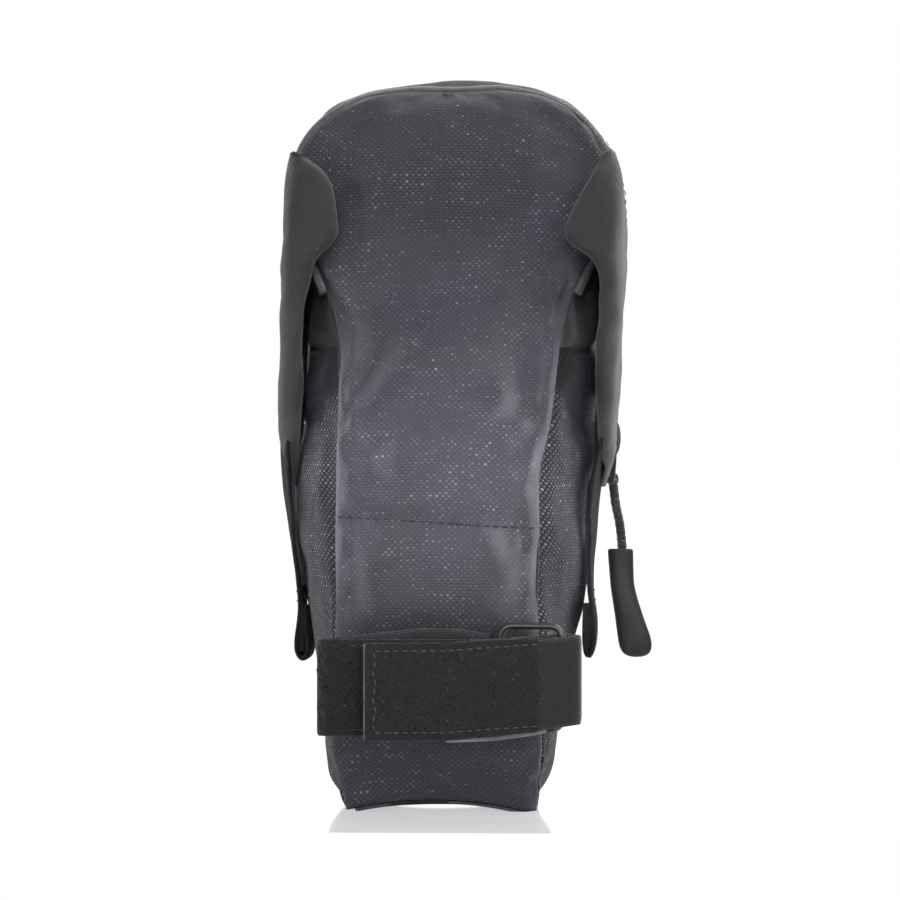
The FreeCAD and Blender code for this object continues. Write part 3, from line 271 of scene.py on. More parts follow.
# ------------------------------------------------------------------ materials
# cloth UVs are in millimetres, so noise scales and periods on them are too
def heather(name, dark, light, dots=1.0, slope=0.0, stretch=1.0, rough=0.5, sheen=0.2, spec=0.4,
            seed=0.0, bump=0.00016, edge=0.0, painted_wing_shadow=False, floor_lit=0.06):
    """Coated two-tone cloth: a dark warp, and a lighter weft that shows as rows of small dots."""
    material, g, bsdf = surface_material(name)
    u, v = g.uv()
    if stretch != 1.0:
        u = u * stretch
    if slope:
        u = u + v * slope
    # checkerboard of yarn cells, rows slightly wavy
    cell_size = 0.8
    wobble = (g.noise(g.vec(u, v, seed), scale=0.12, detail=2.0) - 0.5) * 0.9
    cell_u = u / cell_size
    cell_v = (v + wobble) / cell_size
    in_u, in_v = cell_u.fract(), cell_v.fract()
    id_u, id_v = cell_u.floor(), cell_v.floor()
    is_weft = (id_u + id_v).pingpong(1.0)
    round_u = (in_u * math.pi).sin()
    round_v = (in_v * math.pi).sin()
    weft = round_v ** 0.8 * round_u.scale_add(0.7, 0.3)
    warp = round_u ** 0.6 * round_v.scale_add(0.5, 0.25)
    height = g.mix_float(is_weft, warp, weft)
    # which weft cells are light: streaks along a row, rare single dots, broad clouds
    cell = g.white(g.vec(id_u, id_v, seed))
    run = g.noise(g.vec(id_u * 0.16, id_v * 1.7, seed), scale=1.0, detail=1.0)
    cloud = g.ramp(g.noise(g.vec(u, v, seed), scale=0.055, detail=2.0), (0.35, 0.65), (0.45, 1.25))
    streak = g.ramp(run, (0.50, 0.74)) * cell.scale_add(0.7, 0.3)
    rare = g.ramp(cell, (0.965, 0.998))
    lit = floor_lit + (streak * 0.42 + rare * 0.38)
    slub = (lit * cloud) * (is_weft * weft ** 1.4)
    broad = g.noise(g.vec(u, v, seed + 5), scale=0.035, detail=2.0)
    yarn = g.mix(g.ramp(broad, (0.35, 0.65)), col(dark, tint=(0.92, 0.92, 0.84)),
                 col(dark, tint=(1.04, 1.02, 1.28)))
    gap = g.ramp(height, (0.05, 0.9))
    base = g.mix(gap, g.mix(0.5, yarn, col(dark, tint=(0.35, 0.35, 0.35))), yarn)
    cloth = g.mix(g.product(slub, dots), base, col(light))
    if edge:
        # painted sheen: the colour is made pale where the panel turns over its own side edges,
        # standing in for the highlight the side lamps give those rounded edges
        turn_x, turn_y, _ = g.split(g.node("ShaderNodeNewGeometry").outputs["Normal"])
        _, _, up = g.split(g.obj())
        sideways = g.ramp(turn_x.absolute(), (0.16, 0.62))
        forward = g.ramp(turn_y * -1.0, (0.05, 0.35))
        band = g.ramp(up, (0.036, 0.064)) * g.ramp(up, (0.104, 0.132), (1.0, 0.0))
        patchy = g.ramp(g.noise(g.vec(u, v, 9.0), scale=0.10, detail=2.0), (0.3, 0.7), (0.55, 1.0))
        painted_edge_sheen = (sideways * forward) * (band * patchy)
        cloth = g.mix(g.product(painted_edge_sheen, edge), cloth, col((0.165, 0.163, 0.172)))
    if painted_wing_shadow:
        # painted shadow: the upper wall under the wing, above a slanted line, is painted near
        # black for the shade between wing and wall
        _, depth, up = g.split(g.obj())
        above = g.ramp(up + depth * 0.72, (0.0985, 0.1035))
        cloth = g.mix(above * g.ramp(depth, (0.036, 0.040), (1.0, 0.0)), cloth,
                      col((0.0065, 0.0062, 0.007)))
    fine = g.noise(g.vec(u, v, seed), scale=2.6, detail=4.0)
    gloss = g.noise(g.vec(u, v, 1.0), scale=0.25, detail=3.0)
    relief = height + fine * 0.35
    buckle = g.bump(g.noise(g.vec(u, v, seed + 3), scale=0.09, detail=3.0),
                    distance=0.0011, strength=0.3)
    g.fill(bsdf, {
        "Base Color": cloth,
        "Roughness": g.ramp(gloss, (0.2, 0.8), (rough - 0.06, rough + 0.12)),
        "Specular IOR Level": spec,
        "Sheen Weight": sheen,
        "Sheen Roughness": 0.45,
        "Sheen Tint": col((0.82, 0.80, 0.95)),
        "Normal": g.bump(relief, distance=bump, strength=0.8, normal=buckle),
    })
    return material


def twill(name, dark, light, period=0.62, rough=0.55, spec=0.4, sheen=0.25):
    """Plain nylon with a fine diagonal line."""
    material, g, bsdf = surface_material(name)
    u, v = g.uv()
    slope = 1.0
    diagonal = ((u * slope + v) * (2 * math.pi / period)).sin()
    cross = (u * (2 * math.pi / (period * 0.8))).sin()
    relief = diagonal * 0.5 + cross * 0.16
    wear = g.noise(g.vec(u, v), scale=0.16, detail=5.0)
    paleness = g.product(g.ramp(relief, (-0.5, 0.6)), g.ramp(wear, (0.3, 0.7), (0.55, 1.1)))
    colour = g.mix(paleness, col(dark), col(light))
    gloss = g.ramp(wear, (0.3, 0.7), (rough - 0.06, rough + 0.12))
    buckle = g.bump(g.noise(g.vec(u, v, 5.0), scale=0.11, detail=4.0),
                    distance=0.0012, strength=0.45)
    g.fill(bsdf, {
        "Base Color": colour,
        "Roughness": gloss,
        "Specular IOR Level": spec,
        "Sheen Weight": sheen,
        "Sheen Roughness": 0.5,
        "Normal": g.bump(relief, distance=0.00010, strength=0.8, normal=buckle),
    })
    return material


def webbing(name, dark, light, rib=1.05, across=0.55, rough=0.6, sheen=0.3, spec=0.3):
    """Woven tape: ribs across its length, with a fine herringbone in them."""
    material, g, bsdf = surface_material(name)
    u, v = g.uv()
    zigzag = v.pingpong(2.2) * 0.35
    ribs = ((u + zigzag) * (2 * math.pi / rib)).sin()
    yarn = (v * (2 * math.pi / across)).sin()
    relief = ribs * 0.5 + yarn * 0.3
    fuzz = g.noise(g.vec(u, v), scale=1.6, detail=6.0, rough=0.7)
    paleness = g.product(g.ramp(relief, (-0.6, 0.7)), g.ramp(fuzz, (0.25, 0.75), (0.4, 1.2)))
    g.fill(bsdf, {
        "Base Color": g.mix(paleness, col(dark), col(light)),
        "Roughness": g.ramp(fuzz, (0.2, 0.8), (rough, rough + 0.25)),
        "Sheen Weight": sheen,
        "Specular IOR Level": spec,
        "Normal": g.bump(relief + fuzz * 0.8, distance=0.00014, strength=0.9),
    })
    return material


def pile(name, dark, light, scale=2.2):
    """Loop pile: curled fibres that stand off the tape."""
    material, g, bsdf = surface_material(name)
    u, v = g.uv()
    flat = g.vec(u, v)
    swirl = g.node("ShaderNodeTexNoise")
    g.fill(swirl, {"Vector": flat, "Scale": 1.1})
    warped = g.fill(g.node("ShaderNodeVectorMath", operation="MULTIPLY_ADD"),
                    {0: swirl.outputs["Color"], 1: (1.6, 1.6, 1.6), 2: flat})
    cells = g.fill(g.node("ShaderNodeTexVoronoi", feature="DISTANCE_TO_EDGE"),
                   {"Vector": warped, "Scale": scale * 0.55})
    loops = g.ramp(cells, (0.0, 0.22), (1.0, 0.0))
    fuzz = g.noise(warped, scale=1.9, detail=6.0, rough=0.72)
    relief = loops * 0.28 + fuzz
    g.fill(bsdf, {
        "Base Color": g.mix(g.ramp(relief, (0.38, 0.95)), col(dark), col(light)),
        "Roughness": 0.92,
        "Sheen Weight": 0.22,
        "Specular IOR Level": 0.12,
        "Normal": g.bump(relief, distance=0.00035, strength=0.8),
    })
    return material


def plain(name, base, rough=0.45, metal=0.0, spec=0.5, bump=0.00005, scale=900.0, coat=0.0,
          vary=0.25, wear=None):
    """Metal, rubber, thread or plastic: fine grain, uneven gloss and, with wear, pale edges."""
    material, g, bsdf = surface_material(name)
    place = g.obj()
    fine = g.noise(place, scale=scale, detail=5.0, rough=0.6)
    broad = g.noise(place, scale=scale * 0.09, detail=3.0)
    colour = g.mix(g.ramp(broad, (0.3, 0.7)), col(base, tint=(1 - vary,) * 3),
                   col(base, tint=(1 + vary,) * 3))
    if wear:
        sharpness = g.node("ShaderNodeNewGeometry").outputs["Pointiness"]
        edge = g.ramp(g.math("ADD", sharpness, (fine - 0.5) * 0.08), (0.53, 0.62))
        colour = g.mix(edge, colour, col(wear))
    gloss = g.ramp(fine * 0.5 + broad * 0.5, (0.3, 0.7), (rough - 0.08, rough + 0.1))
    g.fill(bsdf, {
        "Base Color": colour,
        "Roughness": gloss,
        "Metallic": metal,
        "Specular IOR Level": spec,
        "Coat Weight": coat,
        "Coat Roughness": 0.25,
        "Normal": g.bump(fine, distance=bump, strength=0.7),
    })
    return material


def thread(name, base, vary=0.25):
    return plain(name, base, rough=0.6, scale=2500.0, vary=vary)


# two colours on a cloth are its dark and its light yarn
M = {
    # the shell's edge setting paints a sheen highlight on the rounded side edges of the front
    # panel
    "shell": heather("shell_heather", (0.0265, 0.0255, 0.0335), (0.34, 0.34, 0.40),
                     bump=0.00011, edge=0.8),
    # the side cloth paints the shade under the wings near black onto the upper walls
    "side": heather("side_heather", (0.0125, 0.012, 0.0145), (0.50, 0.50, 0.56), dots=1.8,
                    seed=4.0, slope=0.30, rough=0.62, spec=0.22, sheen=0.06, bump=0.0003,
                    painted_wing_shadow=True, floor_lit=0.15, stretch=0.62),
    "base": heather("base_heather", (0.012, 0.012, 0.015), (0.12, 0.12, 0.14), seed=7.0,
                    rough=0.6, spec=0.2),
    "wing": twill("wing_twill", (0.0070, 0.0064, 0.0070), (0.052, 0.048, 0.052), rough=0.56,
                  spec=0.3),
    "gusset": twill("gusset_nylon", (0.0070, 0.0068, 0.0078), (0.0225, 0.0218, 0.025),
                    rough=0.40, spec=0.4, sheen=0.12),
    # the binding tape's light colour is partly its own tone and partly painted highlight for the
    # glossy line along the dome seam
    "binding": twill("binding_tape", (0.032, 0.031, 0.034), (0.105, 0.102, 0.110), period=0.5,
                     rough=0.27, spec=0.75),
    "lining": twill("lining_nylon", (0.10, 0.10, 0.112), (0.165, 0.165, 0.18), period=0.4,
                    rough=0.42, spec=0.5),
    "web": webbing("strap_web", (0.0055, 0.0053, 0.0056), (0.0265, 0.0255, 0.0265), rib=0.7,
                   across=0.5),
    "web_plain": webbing("strap_web_fold", (0.0085, 0.0081, 0.0084), (0.029, 0.0275, 0.0285),
                         rib=0.6, across=0.4, rough=0.66, sheen=0.04, spec=0.14),
    "tape": webbing("zip_tape_web", (0.008, 0.008, 0.010), (0.030, 0.030, 0.034), rib=0.7,
                    across=0.5),
    "pile": pile("loop_pile", (0.0028, 0.0028, 0.0032), (0.027, 0.026, 0.030)),
    "nap": pile("flap_nap", (0.0045, 0.0042, 0.0052), (0.034, 0.032, 0.037), scale=3.2),
    "hook": pile("hook_tape_face", (0.008, 0.008, 0.009), (0.04, 0.04, 0.045), scale=3.0),
    "hook_edge": plain("hook_edge_pale", (0.22, 0.22, 0.23), rough=0.6, vary=0.5),
    "lint": plain("lint_grey", (0.16, 0.16, 0.17), rough=0.7, vary=0.4, scale=700.0),
    "thread": thread("thread_dark", (0.006, 0.006, 0.007)),
    "thread_soft": thread("thread_grey", (0.030, 0.029, 0.033)),
    "thread_pale": thread("thread_strap", (0.055, 0.053, 0.057)),
    "hem": thread("hem_thread", (0.11, 0.108, 0.115), vary=0.4),
    "cord": webbing("braid_cord", (0.006, 0.006, 0.0065), (0.028, 0.027, 0.028), rib=0.9,
                    across=0.9),
    "rubber": plain("grip_rubber", (0.0138, 0.0133, 0.0131), rough=0.6, spec=0.3, bump=0.00004,
                    scale=1400.0, vary=0.18, wear=(0.04, 0.04, 0.04)),
    "metal": plain("black_lacquer", (0.010, 0.010, 0.011), rough=0.3, spec=0.6, coat=0.3,
                   bump=0.00002, scale=1500.0, wear=(0.07, 0.065, 0.06)),
    "teeth": plain("coil_plastic", (0.010, 0.010, 0.011), rough=0.34, spec=0.5, scale=1800.0),
    "board": plain("board_plastic", (0.022, 0.022, 0.024), rough=0.5, scale=600.0),
    "reflect": plain("silver_film", (0.55, 0.56, 0.58), rough=0.3, metal=0.55, spec=0.6,
                     scale=1700.0, vary=0.08),
}

# ------------------------------------------------------------------ mesh helpers
parts = []   # (object, body it rides on, CAD nodes it replaces, material slot)
blends = []  # (object, body, other body, start point, end point)


def make(name, verts, faces, uv, mat, body, slot, replaces=(), shade=True):
    """A mesh piece from points in millimetres, with a UV in millimetres for each point."""
    mesh = bpy.data.meshes.new(name)
    mesh.from_pydata((np.asarray(verts, float) * MM).tolist(), [],
                     [tuple(map(int, f)) for f in faces])
    mesh.update()
    layer = mesh.uv_layers.new(name="UVMap")
    corners = [loop.vertex_index for loop in mesh.loops]
    layer.data.foreach_set("uv", np.asarray(uv, float)[corners].ravel())
    if shade:
        mesh.polygons.foreach_set("use_smooth", [True] * len(mesh.polygons))
    o = bpy.data.objects.new(name, mesh)
    bpy.context.scene.collection.objects.link(o)
    mesh.materials.append(M[mat])
    parts.append((o, body, replaces, slot))
    return o


def solidify(o, thick, offset, levels, simple=False, inside=None):
    """Subdivide a sheet, give it thickness, and bake both into its mesh."""
    if levels:
        subdivide = o.modifiers.new("subdivide", "SUBSURF")
        subdivide.levels = subdivide.render_levels = levels
        if simple:
            subdivide.subdivision_type = "SIMPLE"
    thicken = o.modifiers.new("thicken", "SOLIDIFY")
    thicken.thickness = thick * MM
    thicken.offset = offset
    if inside is not None:
        o.data.materials.append(M[inside])
        thicken.material_offset = 1
        thicken.material_offset_rim = 0
    bpy.context.view_layer.update()
    graph = bpy.context.evaluated_depsgraph_get()
    mesh = bpy.data.meshes.new_from_object(o.evaluated_get(graph), preserve_all_data_layers=True,
                                           depsgraph=graph)
    old = o.data
    o.modifiers.clear()
    o.data = mesh
    bpy.data.meshes.remove(old)
    mesh.name = o.name


def grid_faces(nu, nv, wrap=False, loop=False, base=0):
    """Quads over nv rows of nu points; wrap joins the ends of each row, loop the end rows."""
    faces = []
    for j in range(nv if loop else nv - 1):
        row, above = base + j * nu, base + (j + 1) % nv * nu
        for i in range(nu if wrap else nu - 1):
            k = (i + 1) % nu
            faces.append((row + i, row + k, above + k, above + i))
    return faces


def rod_faces(sides, rings, base):
    """A row of rings with a flat face at each end."""
    first = tuple(range(base, base + sides))
    last = tuple(q + (rings - 1) * sides for q in first)
    return grid_faces(sides, rings, wrap=True, base=base) + [first[::-1], last]


def angles(n):
    return [2 * math.pi * q / n for q in range(n)]


def frames(path, side):
    """Width and normal directions along a strap's centre line, from a wanted width direction."""
    t = unit(np.gradient(path, axis=0))
    w = np.broadcast_to(np.asarray(side, float), path.shape)
    w = unit(w - (w * t).sum(1)[:, None] * t)
    return w, np.cross(t, w)


def strap(name, path, side, width, thick, mat, body, slot, replaces=(), shift=0.0, n_across=9):
    """A flat strip with thinned edges. shift moves each point along the width."""
    p = np.asarray(path, float)
    n = len(p)
    w, normal = frames(p, side)
    width = np.full(n, width, float)
    p = p + w * np.full(n, shift, float)[:, None]
    half = thick / 2
    steps = [-1 + 2 * k / (n_across - 1) for k in range(n_across)]
    profile = [(a, 1.0) for a in steps] + [(-a, -1.0) for a in steps]
    s = arc_length(p)
    verts, uv = [], []
    for i in range(n):
        for a, face in profile:
            rim = abs(a) > 0.999
            across = a * (width[i] / 2 - (half / 2 if rim else 0))
            verts.append(p[i] + w[i] * across + normal[i] * face * half * (0.55 if rim else 1.0))
            uv.append((s[i], across + (0 if face > 0 else 40)))
    k = 2 * n_across
    faces = grid_faces(k, n, wrap=True)
    for start, turn in ((0, 1), ((n - 1) * k, -1)):
        for j in range(n_across - 1):
            quad = (start + j, start + k - 1 - j, start + k - 2 - j, start + j + 1)
            faces.append(quad[::turn])
    return make(name, verts, faces, uv, mat, body, slot, replaces)


def tube(name, path, radius, mat, body, slot, replaces=(), sides=10, closed=False, squeeze=1.0):
    """A round or oval cord along a path. radius may change along it."""
    p = np.asarray(path, float)
    n = len(p)
    r = np.full(n, radius, float)
    t = unit(np.roll(p, -1, 0) - np.roll(p, 1, 0) if closed else np.gradient(p, axis=0))
    upright = abs(t[0][2]) >= 0.9
    a = np.cross(t[0], (0, 1.0, 0) if upright else (0, 0, 1.0))
    s = arc_length(p)
    verts, uv = [], []
    for i in range(n):
        a = unit(a - (a @ t[i]) * t[i])
        b = np.cross(t[i], a)
        for ang in angles(sides):
            verts.append(p[i] + r[i] * (a * math.cos(ang) + b * math.sin(ang) * squeeze))
            uv.append((s[i], ang * r[i]))
    faces = grid_faces(sides, n, wrap=True, loop=closed)
    if not closed:
        for i, turn in ((0, -1), (n - 1, 1)):
            centre = len(verts)
            verts.append(p[i])
            uv.append((s[i], 0))
            for k in range(sides):
                fan = (i * sides + k, i * sides + (k + 1) % sides, centre)
                faces.append(fan[::turn])
    return make(name, verts, faces, uv, mat, body, slot, replaces)


def stitches(name, rows, mat, body, slot, pitch, length, radius, sink=0.02):
    """Separate thread stitches along rows, each a path and the surface normals on it."""
    rings, sides = 7, 6
    verts, faces, uv = [], [], []
    for path, normals in rows:
        path = np.asarray(path, float)
        normals = np.broadcast_to(np.asarray(normals, float), path.shape)
        s = arc_length(path)
        k = 0.5 * pitch
        while k < s[-1] - 0.3 * pitch:
            middle = interp_rows(k, s, path)
            along = unit(interp_rows(k + 0.05, s, path) - middle)
            up = unit(interp_rows(k, s, normals))
            across = np.cross(up, along)
            half = length * RNG.uniform(0.9, 1.08) / 2
            faces += rod_faces(sides, rings, len(verts))
            for i in range(rings):
                x = -1 + 2 * i / (rings - 1)
                r = radius * math.sqrt(max(0.06, 1 - abs(x) ** 3))
                lift = radius * (0.75 - 0.9 * x * x) - sink
                for ang in angles(sides):
                    verts.append(middle + along * x * half + across * r * math.cos(ang)
                                 + up * (r * 0.8 * math.sin(ang) + lift))
                    uv.append((x, ang))
            k += pitch
    return make(name, verts, faces, uv, mat, body, slot)


# ------------------------------------------------------------------ the shell's form
# at each height: y of the front and back faces, and the corner radii beside them
LEVEL_Z = [0, 4, 8, 14, 20, 30, 40, 50, 60, 76, 95, 112, 126, 134, 140, 148, 156, 162, 166.3,
           170.1, 174, 178.4, 181.4, 183.5, 184.5, 185.5, 186.6, 187.1]
FRONT_Y = [-17.5, -19.2, -20.5, -22.3, -23.5, -24.8, -25.5, -25.9, -25.9, -24.3, -18.5, -10.5,
           -4.6, -1.8, -0.2, 1.5, 3.0, 3.7, 4.2, 4.7, 5.3, 6.2, 7.1, 8.0, 8.6, 9.4, 10.6, 11.4]
BACK_Y = [17.5, 20.5, 23, 27, 30.5, 36, 40.5, 45, 49, 55, 61.5, 66, 69.0, 70.0, 70.6, 71, 71,
          70.5, 70, 69.2, 68.2, 66.2, 64.8, 63.3, 62.4, 61.2, 59.5, 58]
FRONT_R = [2.6, 3.0, 3.6, 4.2, 4.6, 4.8, 4.8, 4.8, 4.8, 4.8, 4.8, 5.0, 5.2, 5.0, 4.8, 4.6, 4.4,
           4.4, 4.4, 4.4, 4.3, 4.3, 4.2, 4.2, 4.2, 4.1, 4.0, 4.0]
BACK_R = [6, 8, 9, 10, 11, 12, 13, 13.5, 14, 14.5, 14.5, 14.5, 14.5, 14.5, 14.5, 14.5, 14.5,
          14.5, 14.5, 14.3, 14, 13.4, 13, 12, 11.4, 10.6, 8.6, 7]
# half widths by height, of the back and of the front: the bag sags a little to the left and
# its dome leans right
HALF_BACK_Z = [0, 3.2, 7, 11, 15, 20, 25.5, 33, 41, 47, 55, 62.7, 68, 76, 84, 88, 95, 99, 106,
               112, 126, 134, 140, 148, 156, 162, 166.3, 170.1, 174, 178.4, 181.4, 183.5, 184.5,
               185.5, 186.6, 187.1]
HALF_BACK = {
    -1: [26.2, 28.8, 31.4, 32.2, 33.4, 34.0, 35.0, 36.6, 38.6, 39.9, 41.5, 42.4, 43.0, 43.1,
         42.9, 42.3, 41.3, 40.8, 40.9, 41.1, 41.9, 42.3, 42.5, 42.4, 42.0, 41.7, 41.6, 42.1,
         41.3, 36.2, 30.4, 25.4, 23.0, 20.2, 17.2, 15.2],
    1: [23.2, 23.9, 25.1, 26.6, 27.6, 28.4, 29.8, 32.0, 33.8, 34.8, 35.6, 36.0, 36.2, 36.8,
        37.6, 38.0, 38.4, 38.7, 39.5, 40.2, 41.8, 42.6, 43.2, 43.8, 44.0, 43.9, 43.4, 42.3,
        39.6, 35.2, 30.5, 25.6, 22.8, 19.7, 15.4, 12.6],
}
HALF_FRONT_Z = [0, 8, 15, 30, 48.5, 64, 81.5, 97, 112, 126, 134, 140, 148, 156, 162, 166.3,
                170.1, 174, 178.4, 181.4, 183.5, 184.5, 185.5, 186.6, 187.1]
HALF_FRONT = {
    -1: [24.7, 26.7, 28.0, 28.2, 27.5, 27.1, 27.0, 27.0, 27.8, 29.6, 32.2, 35.2, 38.2, 39.4,
         39.4, 39.2, 37.5, 35.3, 32.0, 28.2, 24.4, 22.4, 19.8, 14.5, 11.5],
    1: [24.1, 25.2, 25.8, 26.0, 25.3, 25.9, 25.9, 27.4, 29.7, 31.6, 34.0, 37.2, 40.8, 42.0,
        42.2, 41.6, 39.7, 37.5, 34.4, 31.1, 27.6, 25.6, 23.0, 17.7, 14.7],
}
BELLY = {1: 2.9, -1: 3.3}  # how far the lower side walls bulge
ZIP_Y, ZIP_GAP = 43.5, 2.6
ZIP_HOLD_Z = 84  # above this the zip is held straight
Z_FOOT = 87.0    # lower ends of the zip
Z_SEAM_LOW, Z_SEAM_HIGH, Z_GUSSET = 98.2, 99.0, 118.0  # two sides of the hinge seam, gusset foot

# mesh rows by height
ROWS = [0, 1.2, 2.6, 4.2, 6, 8, 10.2, 12.6, 15.2, 18, 21, 24, 27.2, 30.4, 33.6, 36.8, 40, 43.2,
        46.4, 49.6, 52.8, 56, 59.2, 62.4, 65.6, 68.6, 71.4, 74.2, 77, 79.6, 82, 84.5, 87, 89.8,
        92.6, 95.4, 98.2, 99.0, 101.6, 104.4, 107.2, 110, 112.6, 115.2, 118, 120.8, 123.6,
        126.4, 129.2, 132, 134.8, 137.6, 140.4, 143.2, 146, 148.8, 151.6, 154.4, 157.2, 160,
        162.8, 165.4, 167.8, 170, 172, 174, 175.8, 177.5, 179, 180.4, 181.7, 182.9, 184, 185,
        185.9, 186.6, 187.1]
N_ROWS = len(ROWS)
J_FOOT, J_LOW, J_HIGH, J_GUSSET = map(ROWS.index, (Z_FOOT, Z_SEAM_LOW, Z_SEAM_HIGH, Z_GUSSET))
J_BINDING = ROWS.index(132)  # the dome binding starts here

# columns: the front face (left to right), the right flank, the back face, the left flank.
# A flank index runs from the front face round the wall to the back face.
N_FACE, N_CORNER, N_WALL, N_ZIP, N_BACK = 26, 8, 20, 4, 14
FLANK = N_CORNER + N_WALL + N_ZIP + N_BACK
N_RING = 2 * N_FACE + 2 * FLANK
N_SIDE_POINTS = N_ROWS * N_RING
F_SEAM = N_CORNER - 1         # edge of the front panel
F_ZIP = N_CORNER + N_WALL     # front edge of the zip
F_LID = F_ZIP + N_ZIP         # back edge of the zip
F_BACK = F_LID + 9            # edge of the back panel


def column(f, side):
    """Ring column at a flank index."""
    return N_FACE + f if side > 0 else -f % N_RING


def flank_of(i):
    """Flank index and side of a ring column; (-1, 0) on the front face, (99, 0) on the back."""
    if i < N_FACE:
        return -1, 0
    if i < N_FACE + FLANK:
        return i - N_FACE, 1
    if i < 2 * N_FACE + FLANK:
        return 99, 0
    return N_RING - 1 - i, -1


def corner_arc(centre, r, start, end, n):
    return np.array([[centre[0] + r * math.cos(a), centre[1] + r * math.sin(a)]
                     for a in np.linspace(start, end, n)])


def flank_line(z, half_front, half_back, belly):
    """One side of a section, from the front face round its corner and the wall to the back."""
    yf, yb, rf, rb = (float(pchip(LEVEL_Z, t, z)) for t in (FRONT_Y, BACK_Y, FRONT_R, BACK_R))
    front_c = np.array([half_front - rf, yf + rf])
    back_c = np.array([half_back - rb, yb - rb])
    # the wall is the common tangent of the two corner circles
    d = back_c - front_c
    gap = np.linalg.norm(d)
    d /= gap
    k = (rf - rb) / gap
    m = math.sqrt(max(0.0, 1 - k * k))
    normal = np.array([k * d[0] + m * d[1], k * d[1] - m * d[0]])
    turn = math.atan2(normal[1], normal[0])
    front = corner_arc(front_c, rf, -math.pi / 2, turn, N_CORNER + 1)
    back = corner_arc(back_c, rb, turn, math.pi / 2, 41)
    s = np.linspace(0, 1, 41)[1:-1]
    bulge = (np.sin(math.pi * s ** 0.66) * belly)[:, None]
    wall = np.linspace(front[-1], back[0], 41)[1:-1] + normal[None] * bulge
    side = np.vstack([front[-1:], wall, back])
    zip_y = ZIP_Y
    if z < 85:
        # below the zip its columns keep their share of the depth
        yf85, yb85 = float(pchip(LEVEL_Z, FRONT_Y, 85)), float(pchip(LEVEL_Z, BACK_Y, 85))
        zip_y = yf + (yb - yf) * (ZIP_Y - yf85) / (yb85 - yf85)
    y_lo, y_hi = min(zip_y - ZIP_GAP, yb - 6), min(zip_y + ZIP_GAP, yb - 1.5)
    s = arc_length(side)
    s_lo, s_hi = np.interp(y_lo, side[:, 1], s), np.interp(y_hi, side[:, 1], s)
    want = np.r_[np.linspace(0, s_lo, N_WALL + 1)[1:], np.linspace(s_lo, s_hi, N_ZIP + 1)[1:],
                 np.linspace(s_hi, s[-1], N_BACK + 1)[1:]]
    return np.vstack([front, interp_rows(want, s, side)])


def section(z):
    """One closed ring of the shell."""
    low = smooth(6, 40, z) * (1 - smooth(92, 135, z))
    right, left = (
        flank_line(z, float(pchip(HALF_FRONT_Z, HALF_FRONT[side], z)),
                   float(pchip(HALF_BACK_Z, HALF_BACK[side], z)), BELLY[side] * low)
        for side in (1, -1))
    left = left * [-1, 1]
    u = np.linspace(0, 1, N_FACE + 1)[:, None]
    front = left[0] * (1 - u) + right[0] * u
    back = right[-1] * (1 - u) + left[-1] * u
    bow = 1 - (2 * u[:, 0] - 1) ** 2
    front[:, 1] -= bow * (0.9 * smooth(20, 60, z) * (1 - smooth(150, 180, z))
                          - 1.3 * smooth(104, 122, z) * (1 - smooth(128, 146, z)))
    back[:, 1] += bow * 1.6 * smooth(10, 50, z)
    ring = np.vstack([front[:-1], right[:-1], back[:-1], left[::-1][:-1]])
    up = np.full(len(ring), z)
    # the front panel ends lower than the crown behind it, which leaves a rim above the seam
    drop = 2.2 * smooth(168, 186.5, z)
    if drop > 0:
        yf = front[:, 1].min()
        up = up - drop * (1 - smooth(yf + 4.0, yf + 11.0, ring[:, 1]))
    return np.column_stack([ring, up])


def arch(x, y):
    """Height of the floor, which is arched upwards."""
    return (2.7 * np.clip(1 - ((x + 2.0) / 22.5) ** 2, 0, 1) ** 0.9
            + 0.5 * np.clip(1 - (y / 16.0) ** 2, 0, 1))


rings = np.array([section(z) for z in ROWS])
for j, z in enumerate(ROWS):
    if z < 16:
        rings[j][:, 2] += arch(rings[0][:, 0], rings[0][:, 1]) * (1 - z / 16.0) ** 2
TOP_FRONT_Y, TOP_BACK_Y = rings[-1][:, 1].min(), rings[-1][:, 1].max()
shell_points = [tuple(p) for row in rings for p in row]


def crown(x, y, z, s):
    return z + (1.3 * (1 - s ** 2) * float(smooth(TOP_FRONT_Y + 1, TOP_FRONT_Y + 9, y))
                * float(1 - smooth(TOP_BACK_Y - 9, TOP_BACK_Y, y)))


def end_grid(row, height):
    """Close the shell at a row with a grid between its flanks; returns the point numbers."""
    ids = np.zeros((FLANK + 1, N_FACE + 1), int)
    base = row * N_RING
    for a in range(FLANK + 1):
        left, right = column(a, -1), column(a, 1)
        for b, s in enumerate(np.linspace(-1, 1, N_FACE + 1)):
            if a == 0:
                ids[a, b] = base + b
            elif a == FLANK:
                ids[a, b] = base + 2 * N_FACE + FLANK - b
            elif b == N_FACE:
                ids[a, b] = base + right
            elif b == 0:
                ids[a, b] = base + left
            else:
                t = (s + 1) / 2
                x, y, z = rings[row][left] * (1 - t) + rings[row][right] * t
                ids[a, b] = len(shell_points)
                shell_points.append((x, y, height(x, y, z, s)))
    return ids


cap_id = end_grid(N_ROWS - 1, crown)
floor_id = end_grid(0, lambda x, y, z, s: float(arch(x, y)))
shell = np.array(shell_points, float)
REST = shell.copy()
side_quads = dict(zip([(j, i) for j in range(N_ROWS - 1) for i in range(N_RING)],
                      grid_faces(N_RING, N_ROWS, wrap=True)))
cap_quads, floor_quads = {}, {}
for a in range(FLANK):
    for b in range(N_FACE):
        cap_quads[a, b] = (cap_id[a, b], cap_id[a, b + 1], cap_id[a + 1, b + 1], cap_id[a + 1, b])
        floor_quads[a, b] = (floor_id[a, b], floor_id[a + 1, b], floor_id[a + 1, b + 1],
                             floor_id[a, b + 1])
QUADS = np.array([*side_quads.values(), *cap_quads.values(), *floor_quads.values()])


